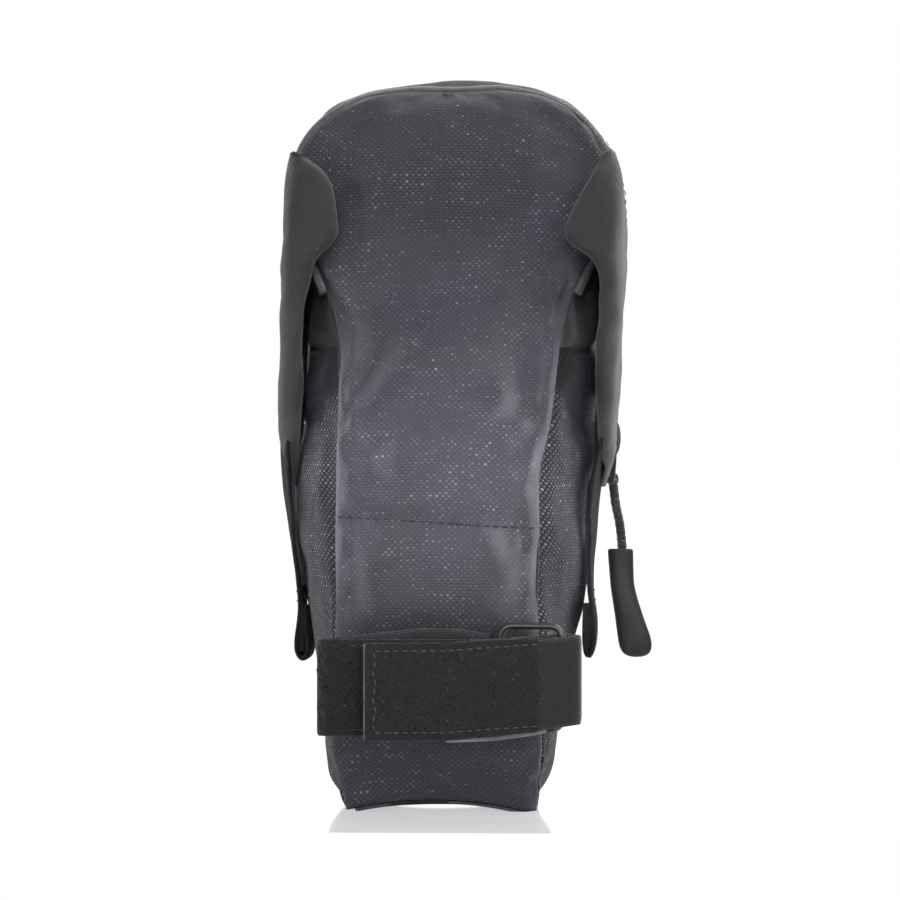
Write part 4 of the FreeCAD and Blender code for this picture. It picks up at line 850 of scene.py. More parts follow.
def strap_hold(pts):
    """How far the tightened seatpost strap keeps the front panel from filling out, 0 to 1."""
    return (smooth(12, 20, pts[:, 2]) * (1 - smooth(43, 53, pts[:, 2]))
            * (1 - smooth(-22, -17, pts[:, 1])))


def pin_weight(z, i):
    """How firmly a point of the shell is held at its place in the cloth simulation."""
    f, _ = flank_of(i)
    zip_edges = [column(edge, side) for edge in (F_ZIP, F_LID) for side in (1, -1)]
    weight = 0.85 if i in (column(F_SEAM, 1), column(F_SEAM, -1)) else 0.0
    if z > ZIP_HOLD_Z and (i in zip_edges or F_ZIP <= f <= F_LID):
        weight = 1.0
    if z in (Z_SEAM_LOW, Z_SEAM_HIGH) and f >= F_LID:
        weight = 1.0
    if z <= 1.2:
        weight = 1.0
    if z >= 186.6:
        weight = max(weight, 0.3)
    return weight


def simulate():
    """Cloth under pressure, held at its seams and floor, so that each panel fills and puckers."""
    mesh = bpy.data.meshes.new("sim")
    mesh.from_pydata([tuple(v * MM) for v in shell], [], QUADS.tolist())
    o = bpy.data.objects.new("sim", mesh)
    scene = bpy.context.scene
    scene.collection.objects.link(o)
    group = o.vertex_groups.new(name="pin")
    held = {j * N_RING + i: pin_weight(z, i) for j, z in enumerate(ROWS) for i in range(N_RING)}
    for v in (*floor_id.ravel(), *cap_id[[F_SEAM, *range(F_ZIP, F_LID + 1)]].ravel()):
        held[int(v)] = 1.0
    for v, weight in held.items():
        if weight > 0:
            group.add([v], weight, "REPLACE")
    cloth = o.modifiers.new("Cloth", "CLOTH")
    settings = cloth.settings
    settings.quality = 5
    settings.mass = 0.25
    settings.tension_stiffness = settings.compression_stiffness = 22
    settings.shear_stiffness = 8
    settings.bending_stiffness = 1.2
    settings.use_pressure = True
    settings.uniform_pressure_force = 2.4
    settings.shrink_min = -0.022
    settings.vertex_group_mass = "pin"
    settings.effector_weights.gravity = 0.0
    cloth.collision_settings.use_collision = False
    cloth.point_cache.frame_start, cloth.point_cache.frame_end = 1, 22
    for f in range(1, 21):
        scene.frame_set(f)
    result = o.evaluated_get(bpy.context.evaluated_depsgraph_get())
    moved = np.zeros(len(shell) * 3, np.float32)
    result.data.vertices.foreach_get("co", moved)
    moved = moved.reshape(-1, 3).astype(float) / MM
    scene.frame_set(1)
    bpy.data.objects.remove(o)
    # the movement is softly limited, and damped under the strap and at the crown
    limit = 2.6
    d = moved - shell
    size = np.linalg.norm(d, axis=1)
    d *= (limit * np.tanh(size / limit) / np.maximum(size, 1e-9))[:, None]
    damp = (1 - 0.85 * strap_hold(shell)) * (1 - 0.8 * smooth(180, 185.5, shell[:, 2]))
    return shell + d * damp[:, None]


def vertex_normals(pts):
    n = np.zeros_like(pts)
    a, b, c, d = (pts[QUADS[:, k]] for k in range(4))
    face_normals = np.cross(c - a, d - b)
    for k in range(4):
        np.add.at(n, QUADS[:, k], face_normals)
    return unit(n)


def cross_seam_z(x):
    """Height of the seam that crosses the front panel."""
    return 75.1 - 3.0 * smooth(-32, 32, x)


def lay_folds(pts):
    """Given folds: ripples, rolls beside the body seams, dents in the front panel."""
    normals = vertex_normals(pts)
    x, y, z = REST.T
    flank = np.array([flank_of(i)[0] for i in range(N_RING)])
    # the zip and the hinge seam stay as they are
    heights = np.array(ROWS)[:, None]
    still = (heights > ZIP_HOLD_Z) & (flank >= F_ZIP - 1) & (flank <= F_LID + 1)
    still |= np.isin(heights, (Z_SEAM_LOW, Z_SEAM_HIGH)) & (flank >= F_LID)
    free = np.ones(len(pts))
    free[:N_SIDE_POINTS][still.ravel()] = 0
    free[cap_id[F_ZIP - 1:F_LID + 2]] = 0
    free *= smooth(0.5, 10, z) * (1 - 0.8 * strap_hold(REST))

    ripple = 0.42 * waves(x, y * 0.7, z, 3, 46) + 0.16 * waves(x, y, z, 8, 15)
    # distance from the flank's start, counted on over the front face
    i = np.arange(N_RING)
    ring_place = np.where(flank == -1, -0.6 * np.minimum(i, N_FACE - i), flank)
    place = np.full(len(pts), 99.0)
    place[:N_SIDE_POINTS] = np.tile(ring_place, N_ROWS)
    edge_z = smooth(14, 40, z) * (1 - smooth(112, 132, z))
    ripple += 0.75 * bell(place, F_SEAM - 3.6, 2.2) * edge_z
    ripple -= 0.85 * bell(place, F_SEAM + 1.2, 1.5) * edge_z
    front = normals[:, 1] < -0.5
    seam = cross_seam_z(x)
    ripple -= front * 0.75 * bell(z, seam, 1.5)
    ripple += front * 0.35 * (bell(z, seam + 4.2, 3.0) + bell(z, seam - 4.2, 3.0))
    ripple -= front * 0.35 * bell(z, 92, 5.0) * smooth(6, 24, x)
    # a crease low on the right front corner, a bulge on the left one
    ripple -= (normals[:, 0] > 0.3) * 1.3 * bell(z, 7.4, 1.5) * bell(y, -17, 6.0)
    ripple += (normals[:, 0] < -0.3) * 0.5 * bell(z, 9, 4) * bell(y, -16, 7.0)
    pts = pts + normals * (ripple * free)[:, None]

    # the right edge of the front panel wanders in and out up its length
    edge = bell(x, 24.5, 7.0) * (y < -8) * (normals[:, 1] < 0.4)
    pts[:, 0] += edge * (-1.1 * bell(z, 84, 7.0) + 0.5 * bell(z, 71, 5.0)
                         - 0.9 * bell(z, 62, 9.0) + 1.0 * bell(z, 98, 8.0))
    # the two body seams run clean: the columns beside them are smoothed up their length
    rows = np.array([j for j, height in enumerate(ROWS) if 13 < height < 150])
    for side in (1, -1):
        for step, passes in ((-2, 4), (-1, 8), (0, 14), (1, 14), (2, 8), (3, 4)):
            ids = rows * N_RING + column(F_SEAM + step, side)
            pts[ids] = relax(pts[ids], passes)
    return pts


shell = simulate()
shell = lay_folds(shell)
NORMALS = vertex_normals(shell)
GRID = shell[:N_SIDE_POINTS].reshape(N_ROWS, N_RING, 3)
GRID_NORMALS = NORMALS[:N_SIDE_POINTS].reshape(N_ROWS, N_RING, 3)

# arc length round each row and up each column, for the weave
steps = np.linalg.norm(np.roll(GRID, -1, 1) - GRID, axis=2)
around = np.concatenate([np.zeros((N_ROWS, 1)), np.cumsum(steps, 1)], 1)
ARC = around[:, :-1] - around[:, N_FACE // 2][:, None]
GIRTH = around[:, -1]
climb = np.zeros((N_ROWS, N_RING))
climb[1:] = np.cumsum(np.linalg.norm(np.diff(GRID, axis=0), axis=2), 0)
CLIMB = climb * 0.35 + climb.mean(1)[:, None] * 0.65


# ------------------------------------------------------------------ panels of the shell
def ring_uv(v, from_back):
    """UV of a side point, measured from the middle of the front or of the back."""
    j, i = divmod(v, N_RING)
    s, half = ARC[j, i], GIRTH[j] / 2
    if from_back:
        s = s - half
        if s < -half:
            s += GIRTH[j]
    elif s > half:
        s -= GIRTH[j]
    return s, CLIMB[j, i]


def panel(name, faces, mat, body, node, slot="shell_fabric", from_back=False, thick=1.5,
          tuck=0.55, inset=0.0, inside="lining", flat_uv=False):
    """One sewn panel cut from the shell. Its edges tuck in a little where it meets the next."""
    ids = sorted({int(v) for f in faces for v in f})
    index = {v: k for k, v in enumerate(ids)}
    count = {}
    for f in faces:
        for a, b in zip(f, f[1:] + f[:1]):
            edge = (min(a, b), max(a, b))
            count[edge] = count.get(edge, 0) + 1
    border = {v for edge, c in count.items() if c == 1 for v in edge}
    top = CLIMB[-1].mean()
    verts, uv = [], []
    for v in ids:
        verts.append(shell[v] - NORMALS[v] * (inset + (tuck if v in border else 0)))
        if v < N_SIDE_POINTS and not flat_uv:
            uv.append(ring_uv(v, from_back))
        else:
            x, y, z = shell[v]
            uv.append((x, top + (y - TOP_FRONT_Y) if z > 100 else y))
    faces = [tuple(index[int(v)] for v in f) for f in faces]
    o = make(name, verts, faces, uv, mat, body, slot, (node,))
    solidify(o, thick, offset=-1.0, levels=1, inside=inside)


def pick(side_test=None, cap_test=None):
    """Shell faces whose row, flank index and side pass; and cap faces whose flank index does."""
    faces = [q for (j, i), q in side_quads.items() if side_test(j, *flank_of(i))]
    if cap_test:
        faces += [q for (a, b), q in cap_quads.items() if cap_test(a)]
    return faces


def side_wall(side):
    """The wall from the front panel to the zip, and below the hinge seam on to the back panel."""
    return pick(lambda j, f, s: s == side and f >= F_SEAM and (
        (j < J_FOOT and f < F_BACK)
        or (J_FOOT <= j < J_LOW and (f < F_ZIP or F_LID <= f < F_BACK))
        or (J_LOW <= j < J_GUSSET and f < F_ZIP)))


lid_faces = pick(lambda j, f, s: j >= J_HIGH and f >= F_LID, lambda a: a >= F_LID)
panel("front_cloth", pick(lambda j, f, s: f < F_SEAM, lambda a: a < F_SEAM),
      "shell", "bag", "front_panel")
for side, nm in SIDE_NAMES.items():
    panel("side_cloth_" + nm, side_wall(side), "side", "bag", "side_wall_" + nm)
panel("gusset_cloth", pick(lambda j, f, s: j >= J_GUSSET and F_SEAM <= f < F_ZIP,
                           lambda a: F_SEAM <= a < F_ZIP), "gusset", "bag", "upper_gusset")
panel("back_cloth", pick(lambda j, f, s: j < J_LOW and f >= F_BACK), "side", "bag",
      "back_panel", from_back=True)
panel("lid_cloth", lid_faces, "shell", "lid", "rear_lid", from_back=True)
panel("base_cloth", list(floor_quads.values()), "base", "bag", "base_panel", "base_fabric",
      thick=1.2, tuck=0.25, inside=None, flat_uv=True)
# lining: the same form drawn in, in two parts
for name, faces, body, node in (
    ("lining_cloth", pick(lambda j, f, s: j >= 2 and (f < F_ZIP or j < J_LOW),
                          lambda a: a < F_ZIP), "bag", "lining"),
    ("lid_lining_cloth", lid_faces, "lid", "lid_lining"),
):
    panel(name, faces, "lining", body, node, "lining_fabric", from_back=True, thick=0.4,
          tuck=0.3, inset=2.3, inside=None)


# ------------------------------------------------------------------ seams on the shell
def on_shell(ids, lift=0.0):
    """Points and normals at point numbers."""
    return shell[ids] + NORMALS[ids] * lift, NORMALS[ids]


def column_ids(i, first, end=N_ROWS):
    return np.arange(first, end) * N_RING + i


def over_ids(f, first):
    """Point numbers up the right flank at a flank index, over the cap and down the left."""
    return np.r_[column_ids(column(f, 1), first), cap_id[f, N_FACE - 1:0:-1],
                 column_ids(column(f, -1), first)[::-1]]


binding = relax(on_shell(over_ids(F_SEAM, J_BINDING), 0.25)[0], 3)
binding_r = 1.16 + 0.12 * np.sin(np.linspace(0, 60, len(binding)))
binding_r = np.interp(np.linspace(0, 1, 221), np.linspace(0, 1, len(binding)), binding_r)
tube("dome_binding", resample(binding, 220), binding_r, "binding", "bag", "binding",
     ("front_binding",), sides=12)

# a thin rolled edge between the front panel and each side wall
for side, nm in SIDE_NAMES.items():
    edge, _ = on_shell(column_ids(column(F_SEAM, side), 1, J_BINDING + 1), -1.15)
    tube("edge_seam_" + nm, resample(relax(edge, 3), 150), 0.5, "gusset", "bag",
         "shell_fabric", sides=8)
SEAM_STITCH = dict(pitch=2.7, length=1.8, radius=0.2)
stitches("back_stitches", [on_shell(column_ids(column(F_BACK + step, side), 2, J_LOW))
                           for side in (1, -1) for step in (-1, 1)],
         "thread_soft", "bag", "shell_fabric", **SEAM_STITCH)

# the cross seam of the front panel
cross, cross_n = [], []
for k in range(-5, N_FACE + 6):
    i = k % N_RING
    z = float(cross_seam_z(rings[ROWS.index(74.2)][i][0]))
    cross.append(interp_rows(z, GRID[:, i, 2], GRID[:, i]))
    cross_n.append(unit(interp_rows(z, GRID[:, i, 2], GRID_NORMALS[:, i])))
cross, cross_n = np.array(cross), np.array(cross_n)
stitches("cross_stitches", [(cross + cross_n * 0.16, cross_n)], "thread", "bag",
         "shell_fabric", pitch=2.35, length=1.85, radius=0.3)

# rows of stitches beside the zip, on both sides
for name, f, first, body in (("zip_stitches_body", F_ZIP - 1, J_FOOT, "bag"),
                             ("zip_stitches_lid", F_LID + 1, J_HIGH + 1, "lid")):
    rows = [on_shell(column_ids(column(f, side), first)) for side in (1, -1)]
    rows.append(on_shell(cap_id[f, ::-1]))
    stitches(name, rows, "thread", body, "zip_tape", pitch=2.5, length=1.6, radius=0.12,
             sink=0.08)
# and along both edges of the lid's sewn hinge
for name, j, body in (("hinge_stitches_lid", J_HIGH + 1, "lid"),
                      ("hinge_stitches_body", J_LOW - 1, "bag")):
    ids = j * N_RING + np.arange(N_FACE + F_LID + 1, N_RING - F_LID)
    stitches(name, [on_shell(ids)], "thread_soft", body, "shell_fabric", **SEAM_STITCH)

# the cloth hinge: a strip over the seam between lid and back, only across the back
hinge_columns = np.arange(N_FACE + FLANK + 1, N_FACE + FLANK + N_FACE)
hinge_ids = [j * N_RING + hinge_columns for j in (J_LOW - 1, J_LOW, J_HIGH, J_HIGH + 1)]
hinge_verts = np.vstack([on_shell(ids, lift)[0]
                         for ids, lift in zip(hinge_ids, (0.12, 0.1, 0.1, 0.12))])
hinge = make("hinge_cloth", hinge_verts, grid_faces(len(hinge_columns), 4),
             shell[np.concatenate(hinge_ids)][:, [0, 2]], "binding", None, "binding")
solidify(hinge, 0.45, offset=0.0, levels=2, simple=True)
blends.append((hinge, "bag", "lid", (0, 0.0629, 0.0965), (0, 0.0629, 0.1010)))

# ------------------------------------------------------------------ zip: tapes and coils
ZIP_MIDDLE = (F_ZIP + F_LID) / 2
NO_LIMIT = 999


def zip_line(f, lift):
    """Points and normals, in six columns, over the bag at a flank index that may be a fraction."""
    k = int(math.floor(f))
    t = f - k
    a, b = over_ids(k, J_FOOT), over_ids(k + 1, J_FOOT)
    normal = NORMALS[a] * (1 - t) + NORMALS[b] * t
    return np.hstack([shell[a] * (1 - t) + shell[b] * t + unit(normal) * lift, normal])


def tape_strip(name, f0, f1, z_from, z_to, body, node):
    """The woven tape beside the coil, from flank index f0 to f1."""
    lines = np.array([zip_line(f, lift)[:, :3]
                      for lift, f in ((-0.7, f0), (-0.6, (f0 + f1) / 2), (-0.6, f1))])
    z = lines[0][:, 2]
    keep = np.flatnonzero((z_from - 0.01 <= z) & (z <= z_to + 0.01))
    verts, faces, uv = [], [], []
    for run in np.split(keep, np.flatnonzero(np.diff(keep) > 1) + 1):
        faces += grid_faces(len(run), 3, base=len(verts))
        s = arc_length(lines[1, run])
        for q in range(3):
            verts += list(lines[q, run])
            uv += [(length, q * 2.0) for length in s]
    o = make(name, verts, faces, uv, "tape", body, "zip_tape", (node,))
    solidify(o, 0.6, offset=0.0, levels=1)


# one turn of the coil: distance from the zip's middle line, and height
COIL_TURN = [(1.95, -0.42), (1.2, -0.46), (0.3, -0.4), (-0.22, -0.16), (-0.3, 0.1),
             (-0.1, 0.36), (0.5, 0.47), (1.3, 0.42), (1.95, 0.2)]
COIL_PITCH = 1.32


def coil(name, side, z_from, z_to, body, node):
    """A row of bent wire loops beside the zip's middle line, that reach just past it."""
    path = resample(zip_line(ZIP_MIDDLE, -0.45), 900)
    s = arc_length(path[:, :3])
    rings, sides = 13, 5
    verts, faces, uv = [], [], []
    k = 0.4 + (COIL_PITCH / 2 if side > 0 else 0)
    while k < s[-1] - 0.4:
        here, ahead = interp_rows(k, s, path), interp_rows(k + 0.1, s, path)
        k += COIL_PITCH
        if not z_from <= here[2] <= z_to:
            continue
        centre, n = here[:3], unit(here[3:])
        t = unit(ahead[:3] - centre)
        w = BACKWARD * side
        w = unit(w - (w @ t) * t)
        w = unit(w - (w @ n) * n * 0.8)
        # the two legs of the turn stand a little apart along the zip
        wire = [centre + w * a + n * b + t * 0.16 * np.sign(q - 4)
                for q, (a, b) in enumerate(COIL_TURN)]
        wire = catmull(wire, rings - 1)
        heading = unit(np.gradient(wire, axis=0))
        faces += rod_faces(sides, rings, len(verts))
        for i in range(rings):
            a = unit(t - (t @ heading[i]) * heading[i])
            b = np.cross(heading[i], a)
            r = 0.31 if 4 < i < 8 else 0.27
            for ang in angles(sides):
                verts.append(wire[i] + r * (a * math.cos(ang) + b * math.sin(ang)))
                uv.append((i, ang))
    make(name, verts, faces, uv, "teeth", body, "zip_teeth", (node,))


TAPE_FIXED = (F_ZIP - 0.5, ZIP_MIDDLE - 0.9)
TAPE_MOVING = (ZIP_MIDDLE + 0.9, F_LID + 0.4)
tape_strip("zip_tape_fixed", *TAPE_FIXED, Z_FOOT, NO_LIMIT, "bag", "zip_tape_body")
tape_strip("zip_tape_moving", *TAPE_MOVING, Z_SEAM_HIGH, NO_LIMIT, "lid", "zip_tape_lid")
tape_strip("zip_tape_low", *TAPE_MOVING, Z_FOOT, Z_SEAM_LOW, "bag", "zip_tape_tail")
coil("zip_coil_fixed", -1, Z_FOOT, NO_LIMIT, "bag", "zip_teeth_body")
coil("zip_coil_moving", 1, Z_SEAM_HIGH + 0.6, NO_LIMIT, "lid", "zip_teeth_lid")
coil("zip_coil_low", 1, Z_FOOT, Z_SEAM_LOW - 0.2, "bag", "zip_teeth_tail")

# ------------------------------------------------------------------ wings with rail loops
WING_Z = [168.5, 166.5, 164.5, 162, 159, 156, 153, 150.5, 148, 146, 144.4, 143, 141.8, 140.5,
          138.5, 136, 133, 130, 127, 124, 121, 118, 115, 112, 109, 106, 103, 101, 99.6, 98.2,
          96, 93.5, 91, 88.5, 86, 84, 82]
# curves by height: z, then the distance from the middle plane (or y). "lobe" is the inner
# edge of the turned-in front, "outer" the outer face; "fold" is a crease: depth, height
# at y = 0, slope with y, width
WINGS = {
    1: dict(
        lobe=([82, 90, 99, 112, 121, 126, 133, 137, 140.5, 143.6, 145.4, 147, 150.5, 156, 162,
               166.5, 168.5],
              [41.5, 39.8, 38.8, 38.6, 38.7, 39.3, 39.9, 39.4, 37.9, 33.6, 31.4, 30.3, 31.2,
               33.6, 36.9, 39.6, 41.2]),
        outer=([82, 86, 91, 99, 106, 112, 121, 130, 140, 150, 158, 164, 168.5],
               [40.2, 41.4, 42.6, 43.3, 43.9, 44.2, 44.7, 45.3, 45.6, 45.9, 45.5, 44.4, 42.8]),
        fold=(0.55, 131, 0.25, 2.2)),
    -1: dict(
        lobe=([82, 90, 99, 112, 118, 125.6, 133, 137, 139.7, 142, 144, 147.4, 155, 160, 165,
               167, 168.5],
              [41.5, 39.6, 38.2, 37.6, 37.2, 36.4, 35.2, 34.4, 33.5, 31.8, 29.6, 27.2, 27.5,
               28.4, 32.4, 35.4, 37.4]),
        outer=([82, 86, 91.5, 99, 103, 107, 115, 123, 130, 138, 146, 153, 157.5, 161, 165,
                168.5],
               [42.4, 43.3, 44.2, 44.7, 44.9, 44.8, 43.9, 42.9, 42.8, 42.5, 42.0, 41.5, 41.0,
                40.2, 39.2, 38.3]),
        fold=(0.5, 133, -0.2, 2.4)),
}
WING_FRONT_Y = ([82, 86, 92, 98, 103, 109, 115, 121, 127, 133, 140, 168.5],
                [31.8, 26, 20, 15, 11.5, 8.5, 5.5, 1.5, -3.0, -6.2, -7.4, -4.8])
WING_BACK_Y = 35.4


def wing_line(side, z, inner_x, outer_x, yf):
    """Points (x, y) of a wing at one height, from its sewn back edge to its front edge."""
    wall = section(z)[[column(f, side) for f in range(FLANK + 1)]]

    def wall_x(y):
        return float(np.interp(y, wall[:, 1], np.abs(wall[:, 0])))

    yb = WING_BACK_Y if z < 160 else WING_BACK_Y - (z - 160) * 0.9
    back_x = wall_x(yb) + 0.35
    outer_x = max(outer_x, back_x + 0.1)
    depth = yb - yf
    mid1, mid2 = yb - min(7.0, depth * 0.3), yb - depth * 0.52
    x1 = max(outer_x - 0.25, wall_x(mid1) + 0.9)
    x2 = max(outer_x, wall_x(mid2) + 0.9)
    pts = [(back_x, yb), ((back_x + x1) / 2 + 0.1, yb - 2.2), (x1, mid1), (x2, mid2)]
    front_x = outer_x - 0.7
    lobe = max(0.0, front_x - inner_x)
    y1 = yf + min(5.0, depth * 0.2)
    if lobe < 0.6:
        return pts + [(front_x + 0.2, y1), (front_x, yf + 0.7), (front_x - 0.25, yf - 0.1)]
    # the lobe turns in across the front and folds back on itself
    k = min(1.0, lobe / 8.0)
    tip = yf - 2.0 * k
    return pts + [
        (front_x + 0.4, y1), (front_x - 0.5 * k, yf + 0.6), (front_x - 2.6 * k, tip - 0.5 * k),
        (inner_x + lobe * 0.45, tip - 1.0 * k), (inner_x + 1.5 * k, tip - 0.7 * k),
        (inner_x, tip + 0.7 * k), (inner_x + 1.4 * k, tip + 2.0 * k),
        (inner_x + lobe * 0.5, tip + 2.7 * k), (front_x - 1.4, tip + 3.6 * k)]


def wing(side):
    nm, shape, n = SIDE_NAMES[side], WINGS[side], 44
    depth, fold_z, slope, fold_width = shape["fold"]
    curves = (pchip(*shape["lobe"], WING_Z), pchip(*shape["outer"], WING_Z),
              pchip(*WING_FRONT_Y, WING_Z))
    rows, uv = [], []
    for z, inner_x, outer_x, yf in zip(WING_Z, *curves):
        line = wing_line(side, z, inner_x, outer_x, yf)
        c = catmull([(x, y, z) for x, y in line], n)
        if z > 150:
            c[:, 2] -= 0.36 * smooth(12, -8, c[:, 1])
        s = arc_length(c)
        x, y, up = c.T
        off = (0.55 * waves(x * 0.6, y, up, 21 + side, 26)
               + 0.20 * waves(x, y, up, 31 + side, 11)) * smooth(0, 8, s)
        off -= depth * bell(up, fold_z + slope * y, fold_width) * smooth(24, 2, y)
        c[:, 0] = (x + off) * side
        rows.append(c)
        uv += [(length, z) for length in s]
    faces = grid_faces(n + 1, len(WING_Z))
    if side > 0:
        faces = [f[::-1] for f in faces]
    o = make("wing_cloth_" + nm, np.vstack(rows), faces, uv, "wing", "bag", "wing_nylon",
             ("wing_" + nm, "rail_loop_" + nm))
    solidify(o, 0.85, offset=0.0, levels=1)
    # stitches beside the sewn back edge, and low down near the front edge
    grid = np.array(rows)
    outward = np.array([side, 0, 0.0])
    lines = [(grid[1:28, 4] + outward * 0.48, outward),
             (grid[21:28, n - 4] + outward * 0.48, outward)]
    stitches("wing_stitches_" + nm, lines, "thread_soft", "bag", "wing_nylon", pitch=2.5,
             length=1.7, radius=0.18)


wing(1)
wing(-1)

# ------------------------------------------------------------------ rail straps
RAIL_Y = 25.5
# centre lines (distance from the middle plane, z) of the web and of the hem that fills its
# folded end, and how far the web twists
RAIL_STRAPS = {
    1: dict(
        web=[(42.4, 110), (42.6, 103), (41.6, 97), (39.6, 90), (38.2, 83), (37.4, 76),
             (36.9, 68), (36.7, 60), (36.9, 54), (37.6, 49.5), (38.0, 46), (37.7, 41.5),
             (36.7, 38.0), (35.7, 38.6), (35.4, 42.5), (35.6, 47), (35.7, 51)],
        hem=[(36.75, 50.5), (36.75, 47.0), (36.7, 43.0), (36.4, 40.0)], twist=0.10),
    -1: dict(
        web=[(42.6, 110), (43.3, 103), (43.7, 97), (43.5, 91), (42.9, 83), (42.2, 76),
             (41.5, 68), (40.2, 60), (39.2, 54), (38.9, 50.5), (39.3, 46), (39.9, 42),
             (39.9, 38.8), (38.8, 37.0), (37.4, 37.6), (36.8, 40.5), (37.2, 45), (37.4, 50)],
        hem=[(38.1, 50.5), (38.25, 47.0), (38.4, 43.0), (38.8, 38.9)], twist=0.17),
}


def rail_strap(side):
    nm, shape = SIDE_NAMES[side], RAIL_STRAPS[side]
    body = "tail_" + nm
    outward = np.array([side, 0, 0.0])
    c = catmull([(side * x, RAIL_Y, z) for x, z in shape["web"]], 120)
    c[:, 0] += 0.25 * side * waves(c[:, 0], 0, c[:, 2], 5 + side, 30)
    hanging = 84  # points before the fold at the foot
    turn = np.where(np.arange(len(c)) < hanging, shape["twist"] * smooth(50, 84, c[:, 2]), 0.0)
    across = points(side * turn, 1.0, 0.0)
    o = strap("rail_strap_web_" + nm, c, across, 20.0, 1.35, "web_plain", None, "webbing",
              ("rail_strap_" + nm,))
    blends.append((o, "bag", body, (side * 0.043, 0.0205, 0.1035),
                   (side * 0.043, 0.0205, 0.0915)))
    # hook patch on the inner face
    patch = [q for q in range(hanging) if 56 < c[q][2] < 84]
    strap("rail_hook_tape_" + nm, c[patch] - outward * 1.02, across[patch], 17.0, 0.6, "hook",
          body, "hook_tape", ("rail_hook_" + nm,))
    # the rolled hem that fills the folded end
    hem = catmull([(side * x, RAIL_Y, z) for x, z in shape["hem"]], 24)
    strap("rail_strap_fold_" + nm, hem, BACKWARD, 19.2, 2.3, "web_plain", body, "webbing")
    # two rows of stitches across the web
    y = np.linspace(RAIL_Y - 8.8, RAIL_Y + 8.8, 20)
    rows = []
    for z in (54.5, 52.0):
        down = -c[:hanging, 2]
        x = (np.interp(-z, down, side * c[:hanging, 0])
             + np.interp(-z, down, turn[:hanging]) * (y - RAIL_Y))
        rows.append((points(side * (x + 0.7), y, z), outward))
    stitches("rail_strap_tack_" + nm, rows, "thread_soft", body, "webbing", pitch=1.5,
             length=1.2, radius=0.2)


rail_strap(1)
rail_strap(-1)

# ------------------------------------------------------------------ seatpost strap
POST_Z = 32.3
UP = (0, 0, 1)
FORWARD = -BACKWARD
fibre_rng = np.random.default_rng(5)


def level_path(pts, n, z=POST_Z):
    path = catmull([(x, y, 0) for x, y in pts], n)
    path[:, 2] = z
    return path


# (x, y): across the front panel to the left, round the left end and back to the right
POST_LOOP = [(12.5, -27.9), (4, -27.8), (-10, -27.8), (-21.5, -27.9), (-27.4, -28.2),
             (-29.5, -29.7), (-29.8, -31.6), (-28.4, -33.5), (-25.5, -34.2), (-14, -34.6),
             (0, -34.7), (10, -34.5), (16, -33.9), (21, -33.2), (25, -32.8)]
post = level_path(POST_LOOP, 170)
share = np.linspace(0, 1, len(post))
post_lift = np.interp(share, [0, 0.08, 0.18, 0.30, 0.42, 0.86, 1.0],
                      [1.2, 2.5, 2.6, 1.2, 0.1, 0.2, 1.7])
strap("post_strap_web", post, UP, np.interp(share, [0, 0.85, 1], [24.9, 24.9, 23.6]), 1.3,
      "web", "bag", "webbing", ("post_strap",), shift=post_lift)


def fuzzy_face(name, verts, s, z, mat, body, slot, thick, replaces=()):
    """A sheet of raised fibres; verts is a grid of points, s and z its UV."""
    uv = np.stack(np.broadcast_arrays(s, z), -1).reshape(-1, 2)
    rows, across = verts.shape[:2]
    o = make(name, verts.reshape(-1, 3), grid_faces(across, rows), uv, mat, body, slot, replaces)
    solidify(o, thick, offset=1.0, levels=0)


def pile_face():
    """The pile side: a thick uneven face on the front run, with its loops raised."""
    keep = [k for k in range(len(post)) if 0.425 < share[k] < 0.83]
    run = resample(post[keep], 170)
    lift = np.interp(np.linspace(share[keep[0]], share[keep[-1]], len(run)), share, post_lift)
    _, normal = frames(run, UP)
    out = np.where((normal @ BACKWARD)[:, None] > 0, -normal, normal)
    s = arc_length(run)[:, None]
    a = np.linspace(-1, 1, 64)
    z = run[:, 2:] + lift[:, None] + a * 12.2
    border = 1 - abs(a)
    edge = smooth(0, 0.06, border) * smooth(0, 1.0, s) * smooth(0, 1.0, s[-1] - s)
    rim = smooth(0.10, 0.16, border) * smooth(1.4, 2.4, s)
    loops = 0.34 + 0.26 * waves(s, z, 0.0, 9, 3.0, 3) + fibre_rng.uniform(-0.12, 0.12, z.shape)
    h = 0.70 + edge * (0.30 + rim * loops)
    verts = points(run[:, :1], run[:, 1:2], z) + out[:, None] * h[..., None]
    fuzzy_face("post_pile_face", verts, s, z, "pile", "bag", "pile", 0.5, ("post_pile",))


pile_face()

# the free end: threaded through the ring, folded round its bar and laid back over the pile
POST_END = [(21.5, -32.35), (25, -32.3), (29.5, -32.35), (32.7, -32.6), (34.6, -33.5),
            (35.2, -34.9), (35.15, -36.4), (34.7, -37.5), (33.2, -38.0), (29, -38.15),
            (18, -38.25), (2, -38.2), (-10, -38.25), (-18.3, -38.4)]
end = level_path(POST_END, 190)
end_x = end[:, 0]
outer = np.arange(len(end)) > int(np.argmax(end_x))
TAPER_X = [-18.3, 2, 14, 24, 31, 35]
end_lift = np.where(outer, np.interp(end_x, TAPER_X, [-0.75, -0.55, 0.35, 1.05, 1.9, 2.35]),
                    np.interp(end_x, [20, 26, 30, 35.2], [1.1, 2.2, 2.6, 2.35]))
end_width = np.where(outer, np.interp(end_x, TAPER_X, [24.9, 24.9, 24.6, 23.7, 23.1, 22.8]), 22.8)
flap = strap("post_strap_flap", end, UP, end_width, 1.2, "web", None, "webbing",
             ("post_strap_end",), shift=end_lift, n_across=13)
blends.append((flap, "bag", "strap_end", (0.033, -0.0336, 0.034), (0.033, -0.0372, 0.034)))


def flap_at(values):
    """A function of x along the flap's outer layer, from values along its whole path."""
    return lambda x: np.interp(-x, -end_x[outer], values[outer])


